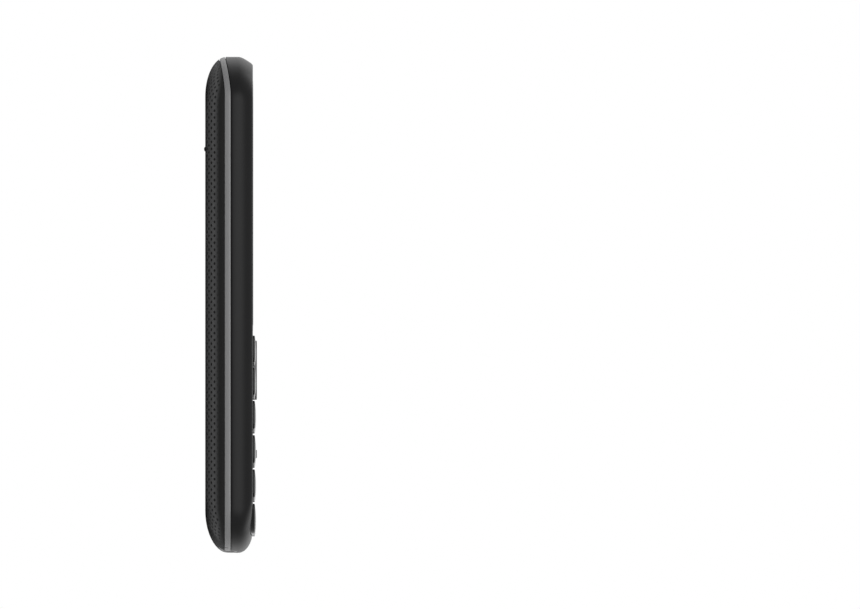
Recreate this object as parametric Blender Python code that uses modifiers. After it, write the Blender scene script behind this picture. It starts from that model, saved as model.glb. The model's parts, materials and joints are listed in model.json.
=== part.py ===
"""A candy-bar mobile phone with large keys, modelled in metres as separate pieces.

It lies on its back. X points to the phone's right as its user sees it, Y points to the
torch end, and Z points out of the front. Heights are measured from the flat of the back
cover, and one empty lifts the whole phone by the small nub that stands proud of it.
"""

import math

import bmesh
import bpy
import numpy as np
from mathutils import Vector

# Whole body, as measured across its widest line
BODY_WIDTH = 0.0560
BODY_LENGTH = 0.1353
BODY_THICKNESS = 0.0130
END_DEPTH = 0.01265
END_POWER = 2.6
CORNER_STEPS = 9

# How the body's section rolls in towards the back and the front
WIDEST_Z = 0.0070
SIDE_BACK_RUN = 0.0083
SIDE_FRONT_RUN = 0.0063
SIDE_FRONT_RISE = 0.0075
TOP_BACK_RUN = 0.0108
TOP_BACK_Z = 0.0058
TOP_FRONT_RUN = 0.0021
TOP_FRONT_Z = 0.0093
TOP_FRONT_POWER = 1.35
BOTTOM_BACK_RUN = 0.0116
BOTTOM_BACK_Z = 0.00635
BOTTOM_FRONT_RUN = 0.0064
BOTTOM_FRONT_Z = 0.0090

# Walls and gaps
SIDE_WALL = 0.0013
FRONT_WALL = 0.0016
COVER_WALL = 0.0012
BAND_WALL = 0.0012
SEAM_GAP = 0.00015
FIT_GAP = 0.0003
OVERRUN = 0.0010

# Metal trim band between the two shells, and how it dips towards the back at the torch end
BAND_FRONT_Z = 0.00693
BAND_BACK_Z = 0.0053
BAND_DIP = 0.00143
BAND_DIP_FRONT_EXTRA = 0.0001
BAND_DIP_REACH = 0.0095
BAND_DIP_POWER = 1.4

# Fingernail slot in the band
SLOT_START_MARGIN = 0.01395
SLOT_END_MARGIN = 0.00535
SLOT_TOP_Z = 0.00589
SLOT_DEPTH = 0.0009
SLOT_STEPS = 4

# Sockets and lamps at the two ends
JACK_X = -0.00943
JACK_Z = 0.00622
JACK_BORE = 0.0037
JACK_RING = 0.0052
USB_X = 0.0009
USB_Z = 0.0069
USB_WIDTH = 0.00894
USB_HEIGHT = 0.00316
USB_RING_WIDTH = 0.01016
USB_RING_HEIGHT = 0.0044
USB_WALL = 0.0003
USB_LENGTH = 0.0073
USB_SETBACK = 0.0005
USB_TONGUE_WIDTH = 0.0067
USB_TONGUE_THICKNESS = 0.0007
USB_TONGUE_LENGTH = 0.0045
USB_BASE_LENGTH = 0.0012
TORCH_X = 0.0144
TORCH_Z = 0.0054
TORCH_BORE = 0.0050
TORCH_RING = 0.0069
END_RING_DEPTH = 0.0042
MIC_X = -0.0165
MIC_Z = 0.0059
MIC_BORE = 0.0009
ROUND_STEPS = 20

# Front window over the display
LENS_TOP_MARGIN = 0.00635
LENS_KEY_GAP = 0.0027
LENS_END_DEPTH = 0.0090
LENS_THICKNESS = 0.0009
LENS_PROUD = 0.0001
LENS_EDGE = 0.0002
WINDOW_SIDE_BORDER = 0.0017
WINDOW_BOTTOM_BORDER = 0.0013
WINDOW_EAR_GAP = 0.0032
EAR_SLOT_MARGIN = 0.0036
EAR_SLOT_WIDTH = 0.0100
EAR_SLOT_HEIGHT = 0.0013
EAR_MESH_THICKNESS = 0.0004

# Keypad: rows bend down in the middle by KEY_SAG
KEY_FIELD_INSET = 0.0042
KEY_MIDDLE_HALF_WIDTH = 0.00805
KEY_COLUMN_GAP = 0.00055
KEY_SAG = 0.0015
KEY_CLEARANCE = 0.0003
KEY_CORNER = 0.0012
KEY_BIG_CORNER = 0.0060
KEY_EDGE_RISE = 0.00036
KEY_SHOULDER_RISE = 0.00057
KEY_CREST_RISE = 0.00084
KEY_EDGE_ROUND = 0.00035
KEY_PILLOW_INSET = 0.0026
KEY_FLANGE_LAP = 0.00045
KEY_FLANGE_SIDE_LAP = 0.0001
KEY_FLANGE_THICKNESS = 0.0005
KEY_TRAVEL = 0.00025
KEY_CORNER_STEPS = 2
SOFT_HEIGHT = 0.0073
SOFT_CALL_GAP = 0.0014
CALL_HEIGHT = 0.0075
CALL_DIGIT_GAP = 0.0016
DIGITS_BOTTOM_MARGIN = 0.0060
DIGIT_HEIGHT = 0.0076
DIGIT_PITCH = 0.00935
NUB_5_DIAMETER = 0.0023
NUB_5_RISE = 0.0011

# Direction ring and its middle key
NAV_RISE = 0.0011
NAV_CORNER = 0.0026
NAV_RIM = 0.00035
NAV_EDGE_ROUND = 0.00025
NAV_MIDDLE_DROP = 0.00015
OK_HALF_WIDTH = 0.0041
OK_CORNER = 0.0018
NAV_CARRIER_THICKNESS = 0.0005
NAV_CARRIER_INSET = 0.0003

# Boards, sheets and the display
PCB_THICKNESS = 0.0009
PCB_BOSS_GAP = 0.0006
PCB_TOP_MARGIN = 0.00865
PCB_BOTTOM_MARGIN = 0.00765
PCB_CORNER = 0.0070
DISPLAY_THICKNESS = 0.0022
DISPLAY_SIDE_LAP = 0.0004
DISPLAY_TOP_LAP = 0.0008
DISPLAY_BOTTOM_LAP = 0.0015
DISPLAY_SEAT = 0.0002
DISPLAY_BOARD_GAP = 0.0008
DOME_SHEET_THICKNESS = 0.0002
DOME_RISE = 0.00035
DOME_WIDTH = 0.0050
DOME_TOP_SHARE = 0.5
KEY_MAT_THICKNESS = 0.0005
SHEET_SIDE_GAP = 0.0004
SHEET_TOP_LAP = 0.0012
SHEET_BOTTOM_GAP = 0.0008
SHEET_CORNER = 0.0070
FLEX_WIDTH = 0.0120
FLEX_THICKNESS = 0.00015
FLEX_LENGTH = 0.0160

# Battery, carrier frame and its screws
BATTERY_SCREW_GAP = 0.0045
BATTERY_JACK_GAP = 0.00315
BATTERY_SIM_GAP = 0.00495
BATTERY_LIFT = 0.0005
BATTERY_EDGE = 0.0008
FRAME_FLOOR = 0.0005
FRAME_LIFT = 0.0004
SCREW_INSET = 0.0034
SCREW_TOP_MARGIN = 0.01765
SCREW_BATTERY_LAP = 0.0060
SCREW_BOTTOM_MARGIN = 0.01965
SCREW_HEAD_WIDTH = 0.0022
SCREW_HEAD_HEIGHT = 0.0009
SCREW_SHANK_WIDTH = 0.0013
SCREW_LENGTH = 0.0038
SCREW_SEAT_Z = 0.0056
SCREW_DRIVE_WIDTH = 0.0011
SCREW_DRIVE_DEPTH = 0.0005
SCREW_STEPS = 10
BOSS_INNER_INSET = 0.0048
BOSS_OUTER_INSET = 0.0010
BOSS_HALF_LENGTH = 0.0017
BOSS_HEIGHT = 0.0027

# Snap tabs that hold the back cover
TAB_HALF_LENGTH = 0.0016
TAB_INSET = 0.0027
TAB_BACK_Z = 0.0037
TAB_FRONT_Z = 0.0062

# Loudspeaker and the grille and nub in front of it
SPEAKER_TOP_MARGIN = 0.02515
SPEAKER_WIDTH = 0.0180
SPEAKER_LENGTH = 0.0130
SPEAKER_THICKNESS = 0.0035
SPEAKER_LIFT = 0.0007
SPEAKER_MESH_THICKNESS = 0.00025
GRILLE_PITCH = 0.0027
GRILLE_SIDE_COUNT = 3
GRILLE_SLOT_WIDTH = 0.0010
GRILLE_SLOT_LENGTH = 0.0080
NUB_WIDTH = 0.0014
NUB_HEIGHT = 0.00031

# Vibration motor
MOTOR_SPEAKER_GAP = 0.0044
MOTOR_SPEAKER_SHIFT = 0.0035
MOTOR_Z = 0.0042
MOTOR_WIDTH = 0.0042
MOTOR_LENGTH = 0.0088
MOTOR_SHAFT_WIDTH = 0.0010
MOTOR_SHAFT_LENGTH = 0.0042
WEIGHT_WIDTH = 0.0042
WEIGHT_LENGTH = 0.0034
WEIGHT_GAP = 0.0006
MOTOR_STEPS = 14

# Parts on the back of the board
SIM_WIDTH = 0.0160
SIM_LENGTH = 0.0165
SIM_THICKNESS = 0.0013
SIM_SPEAKER_GAP = 0.00655
SIM_MIDDLE_GAP = 0.0025
SD_WIDTH = 0.0120
SD_LENGTH = 0.0125
SD_Z_GAP = 0.0003
SD_THICKNESS = 0.0011
CAN_THICKNESS = 0.0013
CAN_1_SIDE_INSET = 0.0080
CAN_1_SPEAKER_GAP = 0.0014
CAN_1_SPEAKER_SHIFT = 0.0005
CAN_1_LENGTH = 0.0170
CAN_2_X = -0.0050
CAN_2_TOP_GAP = 0.0012
CAN_2_WIDTH = 0.0140
CAN_2_LENGTH = 0.0060
ANTENNA_SIDE_INSET = 0.0080
ANTENNA_BOTTOM_MARGIN = 0.00985
ANTENNA_WIDTH = 0.0120
ANTENNA_LENGTH = 0.0064
ANTENNA_BACK_Z = 0.0030
CONNECTOR_WIDTH = 0.0090
CONNECTOR_LENGTH = 0.0016
CONNECTOR_BACK_Z = 0.0032
CONNECTOR_PIN_COUNT = 3
CONNECTOR_PIN_PITCH = 0.0026
CONNECTOR_PIN_WIDTH = 0.0010
CONNECTOR_PIN_REACH = 0.0006
RECEIVER_WIDTH = 0.0120
RECEIVER_LENGTH = 0.0036
RECEIVER_THICKNESS = 0.0022
RECEIVER_EAR_SHIFT = 0.0003
MIC_WIDTH = 0.0036
MIC_LENGTH = 0.0026
MIC_THICKNESS = 0.0010
MIC_BOTTOM_MARGIN = 0.00715
BOOT_LENGTH = 0.0022
BOOT_HALF_WIDTH = 0.0014
BOOT_CHANNEL = 0.0008
JACK_BODY_WIDTH = 0.0060
JACK_BODY_LENGTH = 0.0120
JACK_BODY_HEIGHT = 0.0050
JACK_CONTACT_WIDTH = 0.0008
JACK_CONTACT_LENGTH = 0.0022
JACK_CONTACT_THICKNESS = 0.00035
LED_WIDTH = 0.0030
LED_LENGTH = 0.0012
LED_HEIGHT = 0.0030
TORCH_LENS_CROWN = 0.0004
TORCH_LENS_SETBACK = 0.0010
COMPONENT_EDGE = 0.0003

# Values that follow from those above
HALF_WIDTH = BODY_WIDTH / 2
HALF_LENGTH = BODY_LENGTH / 2
CEILING_Z = BODY_THICKNESS - FRONT_WALL
FRAME_INSET = BAND_WALL + FIT_GAP
BAND_CENTRE_Z = (BAND_FRONT_Z + BAND_BACK_Z) / 2
SLOT_START_Y = -HALF_LENGTH + SLOT_START_MARGIN
SLOT_END_Y = -HALF_LENGTH + SLOT_END_MARGIN

# Keypad and window, from the keypad end up to the earpiece
KEY_FIELD_HALF_WIDTH = HALF_WIDTH - KEY_FIELD_INSET
SIDE_KEY_INNER_X = KEY_MIDDLE_HALF_WIDTH + KEY_COLUMN_GAP
DIGIT_ROW_COUNT = 4
DIGITS_BOTTOM_Y = -HALF_LENGTH + DIGITS_BOTTOM_MARGIN
DIGITS_TOP_Y = DIGITS_BOTTOM_Y + DIGIT_HEIGHT + (DIGIT_ROW_COUNT - 1) * DIGIT_PITCH
CALL_BOTTOM_Y = DIGITS_TOP_Y + CALL_DIGIT_GAP
CALL_TOP_Y = CALL_BOTTOM_Y + CALL_HEIGHT
SOFT_BOTTOM_Y = CALL_TOP_Y + SOFT_CALL_GAP
SOFT_TOP_Y = SOFT_BOTTOM_Y + SOFT_HEIGHT
LENS_HALF_WIDTH = KEY_FIELD_HALF_WIDTH
LENS_BOTTOM_Y = SOFT_TOP_Y + LENS_KEY_GAP
LENS_TOP_Y = HALF_LENGTH - LENS_TOP_MARGIN
EAR_SLOT_Y = LENS_TOP_Y - EAR_SLOT_MARGIN
RECEIVER_Y = EAR_SLOT_Y + RECEIVER_EAR_SHIFT
WINDOW_HALF_WIDTH = LENS_HALF_WIDTH - WINDOW_SIDE_BORDER
WINDOW_TOP_Y = EAR_SLOT_Y - WINDOW_EAR_GAP
WINDOW_BOTTOM_Y = LENS_BOTTOM_Y + WINDOW_BOTTOM_BORDER
DISPLAY_HALF_WIDTH = WINDOW_HALF_WIDTH + DISPLAY_SIDE_LAP
DISPLAY_TOP_Y = WINDOW_TOP_Y + DISPLAY_TOP_LAP
DISPLAY_BOTTOM_Y = WINDOW_BOTTOM_Y - DISPLAY_BOTTOM_LAP
NAV_TOP_Y = SOFT_TOP_Y - KEY_SAG
NAV_BOTTOM_Y = CALL_BOTTOM_Y - KEY_SAG
NAV_CENTRE_Y = (NAV_TOP_Y + NAV_BOTTOM_Y) / 2

# The stack of layers, from the front wall back to the battery
LENS_FRONT_Z = BODY_THICKNESS + LENS_PROUD
LENS_BACK_Z = LENS_FRONT_Z - LENS_THICKNESS
LENS_SEAT_Z = LENS_BACK_Z - DISPLAY_SEAT
DISPLAY_FRONT_Z = CEILING_Z - DISPLAY_SEAT
DISPLAY_BACK_Z = DISPLAY_FRONT_Z - DISPLAY_THICKNESS
PCB_FRONT_Z = DISPLAY_BACK_Z - DISPLAY_BOARD_GAP
PCB_BACK_Z = PCB_FRONT_Z - PCB_THICKNESS
DOME_SHEET_BACK_Z = PCB_FRONT_Z + DISPLAY_SEAT
FRAME_FRONT_Z = PCB_BACK_Z - FIT_GAP
FRAME_FLOOR_Z = FRAME_FRONT_Z - FRAME_FLOOR
FRAME_BACK_Z = COVER_WALL + FRAME_LIFT
BATTERY_FRONT_Z = FRAME_FLOOR_Z - DISPLAY_SEAT
BATTERY_BACK_Z = COVER_WALL + BATTERY_LIFT
KEY_FLANGE_FRONT_Z = CEILING_Z - FIT_GAP
KEY_FLANGE_BACK_Z = KEY_FLANGE_FRONT_Z - KEY_FLANGE_THICKNESS
KEY_MAT_FRONT_Z = KEY_FLANGE_BACK_Z - KEY_TRAVEL - SEAM_GAP
KEY_MAT_BACK_Z = KEY_MAT_FRONT_Z - KEY_MAT_THICKNESS
NAV_RING_BACK_Z = KEY_FLANGE_FRONT_Z + FIT_GAP
NAV_CARRIER_FRONT_Z = NAV_RING_BACK_Z - KEY_TRAVEL - SEAM_GAP
NAV_CARRIER_BACK_Z = NAV_CARRIER_FRONT_Z - NAV_CARRIER_THICKNESS
NAV_PIVOT_Z = (NAV_RING_BACK_Z + NAV_CARRIER_FRONT_Z) / 2
SPEAKER_BACK_Z = COVER_WALL + SPEAKER_LIFT
SPEAKER_FRONT_Z = SPEAKER_BACK_Z + SPEAKER_THICKNESS
ANTENNA_FRONT_Z = FRAME_FLOOR_Z - FIT_GAP

# Screws, bosses and the boards between them
SCREW_X = HALF_WIDTH - SCREW_INSET
BOSS_INNER_X = HALF_WIDTH - BOSS_INNER_INSET
BOSS_OUTER_X = HALF_WIDTH - BOSS_OUTER_INSET
PCB_HALF_WIDTH = BOSS_INNER_X - PCB_BOSS_GAP
PCB_TOP_Y = HALF_LENGTH - PCB_TOP_MARGIN
PCB_BOTTOM_Y = -HALF_LENGTH + PCB_BOTTOM_MARGIN
SHEET_HALF_WIDTH = PCB_HALF_WIDTH - SHEET_SIDE_GAP
SHEET_TOP_Y = SOFT_TOP_Y + SHEET_TOP_LAP
SHEET_BOTTOM_Y = PCB_BOTTOM_Y + SHEET_BOTTOM_GAP

# Places behind the board, from the torch end down to the battery
SPEAKER_Y = HALF_LENGTH - SPEAKER_TOP_MARGIN
MOTOR_X = SPEAKER_WIDTH / 2 + MOTOR_SPEAKER_GAP + MOTOR_WIDTH / 2
MOTOR_Y = SPEAKER_Y - MOTOR_SPEAKER_SHIFT
CAN_1_INNER_X = SPEAKER_WIDTH / 2 + CAN_1_SPEAKER_GAP
CAN_1_WIDTH = HALF_WIDTH - CAN_1_SIDE_INSET - CAN_1_INNER_X
CAN_1_X = -CAN_1_INNER_X - CAN_1_WIDTH / 2
CAN_1_Y = SPEAKER_Y + CAN_1_SPEAKER_SHIFT
CAN_2_Y = PCB_TOP_Y - CAN_2_TOP_GAP - CAN_2_LENGTH / 2
CANS = {1: (CAN_1_X, CAN_1_Y, CAN_1_WIDTH, CAN_1_LENGTH),
        2: (CAN_2_X, CAN_2_Y, CAN_2_WIDTH, CAN_2_LENGTH)}
SIM_X = SIM_MIDDLE_GAP + SIM_WIDTH / 2
SIM_Y = SPEAKER_Y - SPEAKER_LENGTH / 2 - SIM_SPEAKER_GAP - SIM_LENGTH / 2
BATTERY_TOP_Y = SIM_Y - SIM_LENGTH / 2 - BATTERY_SIM_GAP
JACK_FRONT_Y = -HALF_LENGTH + END_RING_DEPTH + FIT_GAP
BATTERY_BOTTOM_Y = JACK_FRONT_Y + JACK_BODY_LENGTH + BATTERY_JACK_GAP
BATTERY_HALF_WIDTH = SCREW_X - SCREW_HEAD_WIDTH / 2 - BATTERY_SCREW_GAP
CONNECTOR_Y = BATTERY_TOP_Y + CONNECTOR_PIN_REACH + FIT_GAP
ANTENNA_X = HALF_WIDTH - ANTENNA_SIDE_INSET - ANTENNA_WIDTH / 2
ANTENNA_Y = -HALF_LENGTH + ANTENNA_BOTTOM_MARGIN + ANTENNA_LENGTH / 2
MIC_Y = -HALF_LENGTH + MIC_BOTTOM_MARGIN
SCREW_TOP_Y = HALF_LENGTH - SCREW_TOP_MARGIN
SCREW_MIDDLE_Y = BATTERY_TOP_Y - SCREW_BATTERY_LAP
SCREW_BOTTOM_Y = -HALF_LENGTH + SCREW_BOTTOM_MARGIN
SCREW_YS = (SCREW_TOP_Y, SCREW_MIDDLE_Y, SCREW_BOTTOM_Y)
TAB_INNER_X = HALF_WIDTH - TAB_INSET
UPPER_TAB_SHARE = 1 / 3
LOWER_TAB_SHARES = (0.32, 0.76)

FRONT_RING_SHARES = (0, 0.35, 0.6, 0.78, 0.9, 0.97, 0.995, 1)
FRONT_INNER_SHARES = (0, 0.45, 0.75, 0.93, 1)
COVER_RING_SHARES = (0, 0.25, 0.5, 0.7, 0.86, 0.96, 1)
COVER_INNER_SHARES = (0, 0.45, 0.75, 0.94, 1)
FRAME_RING_SHARES = (0, 0.12, 0.4, 1)
ENVELOPE_SHARES = (0, 0.03, 0.1, 0.22, 0.36, 0.5, 0.65, 0.78, 0.9, 1)
SMILE_SHARES = (0.17, 0.33, 0.5, 0.67, 0.83)
LENS_BOTTOM_SHARES = (-0.6, -0.2, 0.2, 0.6)


# Scene, collections and materials
def clear_scene():
    for item in list(bpy.data.objects):
        bpy.data.objects.remove(item, do_unlink=True)


def new_collection(name):
    group = bpy.data.collections.new(name)
    bpy.context.scene.collection.children.link(group)
    return group


def material(name, colour, roughness, metallic=0.0, transmission=0.0):
    made = bpy.data.materials.new(name)
    made.use_nodes = True
    shader = made.node_tree.nodes["Principled BSDF"]
    shader.inputs["Base Color"].default_value = (*colour, 1.0)
    shader.inputs["Roughness"].default_value = roughness
    shader.inputs["Metallic"].default_value = metallic
    shader.inputs["Transmission Weight"].default_value = transmission
    made.diffuse_color = (*colour, 1.0)
    return made


clear_scene()
PARTS = new_collection("mobile_phone")
CUTTERS = new_collection("cutters")
PHONE = bpy.data.objects.new("phone_base", None)
PHONE.location = (0, 0, NUB_HEIGHT)
PARTS.objects.link(PHONE)

SATIN_BLACK = material("satin_black_plastic", (0.030, 0.030, 0.031), 0.42)
TEXTURED_BLACK = material("textured_black_plastic", (0.045, 0.045, 0.046), 0.6)
GUNMETAL = material("gunmetal_trim", (0.19, 0.19, 0.19), 0.38, metallic=0.7)
GLOSS_BLACK = material("gloss_black_lens", (0.006, 0.006, 0.007), 0.08)
KEY_BLACK = material("gloss_black_keys", (0.012, 0.012, 0.013), 0.22)
RING_GREY = material("grey_ring", (0.10, 0.10, 0.11), 0.3, metallic=0.4)
STEEL = material("nickel_steel", (0.55, 0.55, 0.56), 0.28, metallic=1.0)
GOLD = material("gold_plate", (0.80, 0.58, 0.22), 0.25, metallic=1.0)
BOARD_GREEN = material("board_green", (0.020, 0.085, 0.040), 0.45)
SILICONE = material("grey_silicone", (0.16, 0.16, 0.17), 0.7)
POLYESTER = material("clear_film", (0.62, 0.64, 0.66), 0.3)
FRAME_BLACK = material("frame_black", (0.018, 0.018, 0.018), 0.55)
CELL_GREY = material("battery_wrap", (0.11, 0.115, 0.12), 0.5)
CONNECTOR_BLACK = material("connector_black", (0.012, 0.012, 0.012), 0.5)
CONNECTOR_WHITE = material("connector_white", (0.75, 0.75, 0.73), 0.45)
FLEX_BROWN = material("flex_film", (0.30, 0.14, 0.035), 0.35)
LAMP_CLEAR = material("lamp_lens", (0.88, 0.88, 0.82), 0.1, transmission=0.6)
LAMP_YELLOW = material("lamp_phosphor", (0.85, 0.70, 0.12), 0.5)
MESH_BLACK = material("mesh_black", (0.020, 0.020, 0.020), 0.7)


# Meshes and objects
def add_object(name, mesh_data, finish, at=(0, 0, 0), cutter=False):
    body = bpy.data.objects.new(name, mesh_data)
    body.location = at
    body.parent = PHONE
    if cutter:
        CUTTERS.objects.link(body)
        body.hide_render = True
        body.display_type = "WIRE"
    else:
        PARTS.objects.link(body)
        mesh_data.materials.append(finish)
        mesh_data.shade_smooth()
        mesh_data.set_sharp_from_angle(angle=math.radians(30))
    return body


def mesh_from(name, grid):
    """The mesh of a bmesh, with its faces turned outwards."""
    bmesh.ops.recalc_face_normals(grid, faces=grid.faces)
    data = bpy.data.meshes.new(name)
    grid.to_mesh(data)
    grid.free()
    return data


def loft(name, rings, finish=None, at=(0, 0, 0), cutter=False, around=False):
    """A solid through rings of equal counts. Its ends are capped, unless it closes around on itself."""
    grid = bmesh.new()
    shift = Vector(at)
    loops = [[grid.verts.new(Vector(point) - shift) for point in ring] for ring in rings]
    pairs = list(zip(loops, loops[1:]))
    if around:
        pairs.append((loops[-1], loops[0]))
    for low, high in pairs:
        count = len(low)
        for i in range(count):
            j = (i + 1) % count
            grid.faces.new((low[i], low[j], high[j], high[i]))
    if not around:
        grid.faces.new(loops[0][::-1])
        grid.faces.new(loops[-1])
    return add_object(name, mesh_from(name, grid), finish, at, cutter)


def shell(name, outer, inner, finish):
    """A shell through outer and inner rings, which both run from its rim to its closed end."""
    grid = bmesh.new()
    walls = [[[grid.verts.new(point) for point in ring] for ring in rings] for rings in (outer, inner)]
    pairs = [(walls[0][0], walls[1][0])]
    for wall in walls:
        pairs += list(zip(wall, wall[1:]))
        grid.faces.new(wall[-1])
    for low, high in pairs:
        for i in range(len(low)):
            j = (i + 1) % len(low)
            grid.faces.new((low[i], low[j], high[j], high[i]))
    return add_object(name, mesh_from(name, grid), finish)


def box(name, low, high, finish=None, corner=0, edge=0, cutter=False, at=None):
    """A box between two corners, with its upright edges or all its edges rounded."""
    low, high = Vector(low), Vector(high)
    middle = (low + high) / 2
    origin = middle if at is None else Vector(at)
    grid = bmesh.new()
    bmesh.ops.create_cube(grid, size=1.0)
    bmesh.ops.scale(grid, verts=grid.verts, vec=high - low)
    bmesh.ops.translate(grid, verts=grid.verts, vec=middle - origin)
    if corner:
        spans = {e: e.verts[0].co - e.verts[1].co for e in grid.edges}
        upright = [e for e, span in spans.items() if abs(span.z) > abs(span.x) + abs(span.y)]
        bmesh.ops.bevel(grid, geom=upright, offset=corner, segments=3, profile=0.5, affect="EDGES")
    body = add_object(name, mesh_from(name, grid), finish, origin, cutter)
    if edge:
        bevel = body.modifiers.new("rounded_edges", "BEVEL")
        bevel.width = edge
        bevel.segments = 1
        bevel.limit_method = "ANGLE"
    return body


def rod(name, width, start, end, finish=None, steps=ROUND_STEPS, cutter=False, at=None):
    """A round bar between two points."""
    start, end = Vector(start), Vector(end)
    middle = (start + end) / 2
    origin = middle if at is None else Vector(at)
    grid = bmesh.new()
    bmesh.ops.create_cone(grid, cap_ends=True, segments=steps, radius1=width / 2,
                          radius2=width / 2, depth=(end - start).length)
    turn = Vector((0, 0, 1)).rotation_difference(end - start).to_matrix()
    bmesh.ops.rotate(grid, verts=grid.verts, matrix=turn)
    bmesh.ops.translate(grid, verts=grid.verts, vec=middle - origin)
    return add_object(name, mesh_from(name, grid), finish, origin, cutter)


def stadium_rod(name, width, height, x, z, y_start, y_end, finish=None, cutter=False):
    """A bar along Y whose section is a flat oval."""
    radius = height / 2
    centre_x = (width - height) / 2
    half_steps = ROUND_STEPS // 2
    turns = [math.pi * (i / half_steps - 0.5) for i in range(half_steps + 1)]
    right = [(x + centre_x + radius * math.cos(a), z + radius * math.sin(a)) for a in turns]
    left = [(x - centre_x - radius * math.cos(a), z - radius * math.sin(a)) for a in turns]
    rings = [[(px, y, pz) for px, pz in right + left] for y in (y_start, y_end)]
    return loft(name, rings, finish, cutter=cutter)


def cut(body, *cutters, operation="DIFFERENCE"):
    for cutter in cutters:
        change = body.modifiers.new(operation.lower() + "_" + cutter.name, "BOOLEAN")
        change.operation = operation
        change.solver = "EXACT"
        change.object = cutter
    return body


def join(body, *pieces):
    return cut(body, *pieces, operation="UNION")


# Shape of the body
def quarter(share):
    """How far a quarter ellipse has come in when it has climbed this share of its rise."""
    share = np.clip(share, 0, 1)
    return 1 - np.sqrt(1 - share * share)


def ellipse_inset(z, start_z, rise, run, wall):
    """Inset of a curved flank that starts upright at start_z, for a surface one wall inside it."""
    share = (z - start_z) / (rise - wall)
    return wall + (run - wall) * quarter(share)


def side_half_width(z, wall):
    back = ellipse_inset(2 * WIDEST_Z - z, WIDEST_Z, WIDEST_Z, SIDE_BACK_RUN, wall)
    front = ellipse_inset(z, WIDEST_Z, SIDE_FRONT_RISE, SIDE_FRONT_RUN, wall)
    return HALF_WIDTH - np.maximum(back, front)


def top_end_y(z, wall):
    """The torch end leans back at about 45 degrees near the front, so its wall is set in along that."""
    back = ellipse_inset(2 * TOP_BACK_Z - z, TOP_BACK_Z, TOP_BACK_Z, TOP_BACK_RUN, wall)
    lean = wall * math.sqrt(0.5)
    climb = (z + lean - TOP_FRONT_Z) / (BODY_THICKNESS - TOP_FRONT_Z)
    front = TOP_FRONT_RUN * np.clip(climb, 0, 1) ** TOP_FRONT_POWER + lean
    return HALF_LENGTH - np.maximum(np.maximum(back, front), wall)


def bottom_end_y(z, wall):
    back = ellipse_inset(2 * BOTTOM_BACK_Z - z, BOTTOM_BACK_Z, BOTTOM_BACK_Z, BOTTOM_BACK_RUN, wall)
    rise = BODY_THICKNESS - BOTTOM_FRONT_Z
    front = ellipse_inset(z, BOTTOM_FRONT_Z, rise, BOTTOM_FRONT_RUN, wall)
    return -HALF_LENGTH + np.maximum(back, front)


def end_directions(steps):
    """Unit superellipse from the right side over the end to the left side."""
    turns = np.linspace(0, math.pi, 2 * steps + 1)
    power = 2 / END_POWER
    across = np.sign(np.cos(turns)) * np.abs(np.cos(turns)) ** power
    along = np.abs(np.sin(turns)) ** power
    along[[0, -1]] = 0
    return across, along


ACROSS, ALONG = end_directions(CORNER_STEPS)
END_COUNT = len(ACROSS)


def body_ring(z, wall=0.0):
    """Points round the body at height z, which may differ from point to point."""
    z = np.broadcast_to(np.asarray(z, float), (2 * END_COUNT,))
    half_width = side_half_width(z, wall)
    depth = END_DEPTH * half_width / HALF_WIDTH
    across = np.concatenate([ACROSS, ACROSS[::-1]])
    along = np.concatenate([ALONG, ALONG[::-1]])
    top = top_end_y(z, wall) - depth * (1 - along)
    bottom = bottom_end_y(z, wall) + depth * (1 - along)
    is_top = np.arange(2 * END_COUNT) < END_COUNT
    return np.stack([half_width * across, np.where(is_top, top, bottom), z], axis=1)


def band_edges():
    """Height of the band's back and front edges at each point round the body."""
    distance = HALF_LENGTH - body_ring(BAND_CENTRE_Z)[:, 1]
    share = np.clip(1 - distance / BAND_DIP_REACH, 0, 1) ** BAND_DIP_POWER
    back = BAND_BACK_Z - (BAND_DIP - BAND_DIP_FRONT_EXTRA) * share
    front = BAND_FRONT_Z - (BAND_DIP + BAND_DIP_FRONT_EXTRA) * share
    return back, front


BAND_BACK, BAND_FRONT = band_edges()


def between(low, high, share):
    return low + (high - low) * share


def shell_rings(low, high, shares, wall=0.0):
    return [body_ring(between(low, high, share), wall) for share in shares]


def envelope():
    """The whole body as one solid, which trims the port rings flush with the surface."""
    rings = [body_ring(BODY_THICKNESS * share) for share in ENVELOPE_SHARES]
    return loft("body_envelope", rings, cutter=True)


# Ports: the rings round them belong to the trim band
TOP_OUT_Y = HALF_LENGTH + OVERRUN
BOTTOM_OUT_Y = -HALF_LENGTH - OVERRUN
RING_TOP_Y = HALF_LENGTH - END_RING_DEPTH
RING_BOTTOM_Y = -HALF_LENGTH + END_RING_DEPTH


def port_shape(name, port, grow, reach=0.0, cutter=True):
    """Outline of one port's ring, or of its hole, run in from outside past the ring's depth."""
    if port == "jack":
        return rod(name, grow, (JACK_X, BOTTOM_OUT_Y, JACK_Z),
                   (JACK_X, RING_BOTTOM_Y + reach, JACK_Z), cutter=cutter)
    if port == "torch":
        return rod(name, grow, (TORCH_X, TOP_OUT_Y, TORCH_Z),
                   (TORCH_X, RING_TOP_Y - reach, TORCH_Z), cutter=cutter)
    return stadium_rod(name, grow + USB_RING_WIDTH - USB_RING_HEIGHT, grow, USB_X, USB_Z,
                       BOTTOM_OUT_Y, RING_BOTTOM_Y + reach, cutter=cutter)


RING_HEIGHTS = {"jack": JACK_RING, "usb": USB_RING_HEIGHT, "torch": TORCH_RING}


def port_clearances(owner, reach):
    return [port_shape(f"{owner}_{port}_clearance", port, size + 2 * SEAM_GAP, reach)
            for port, size in RING_HEIGHTS.items()]


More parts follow.
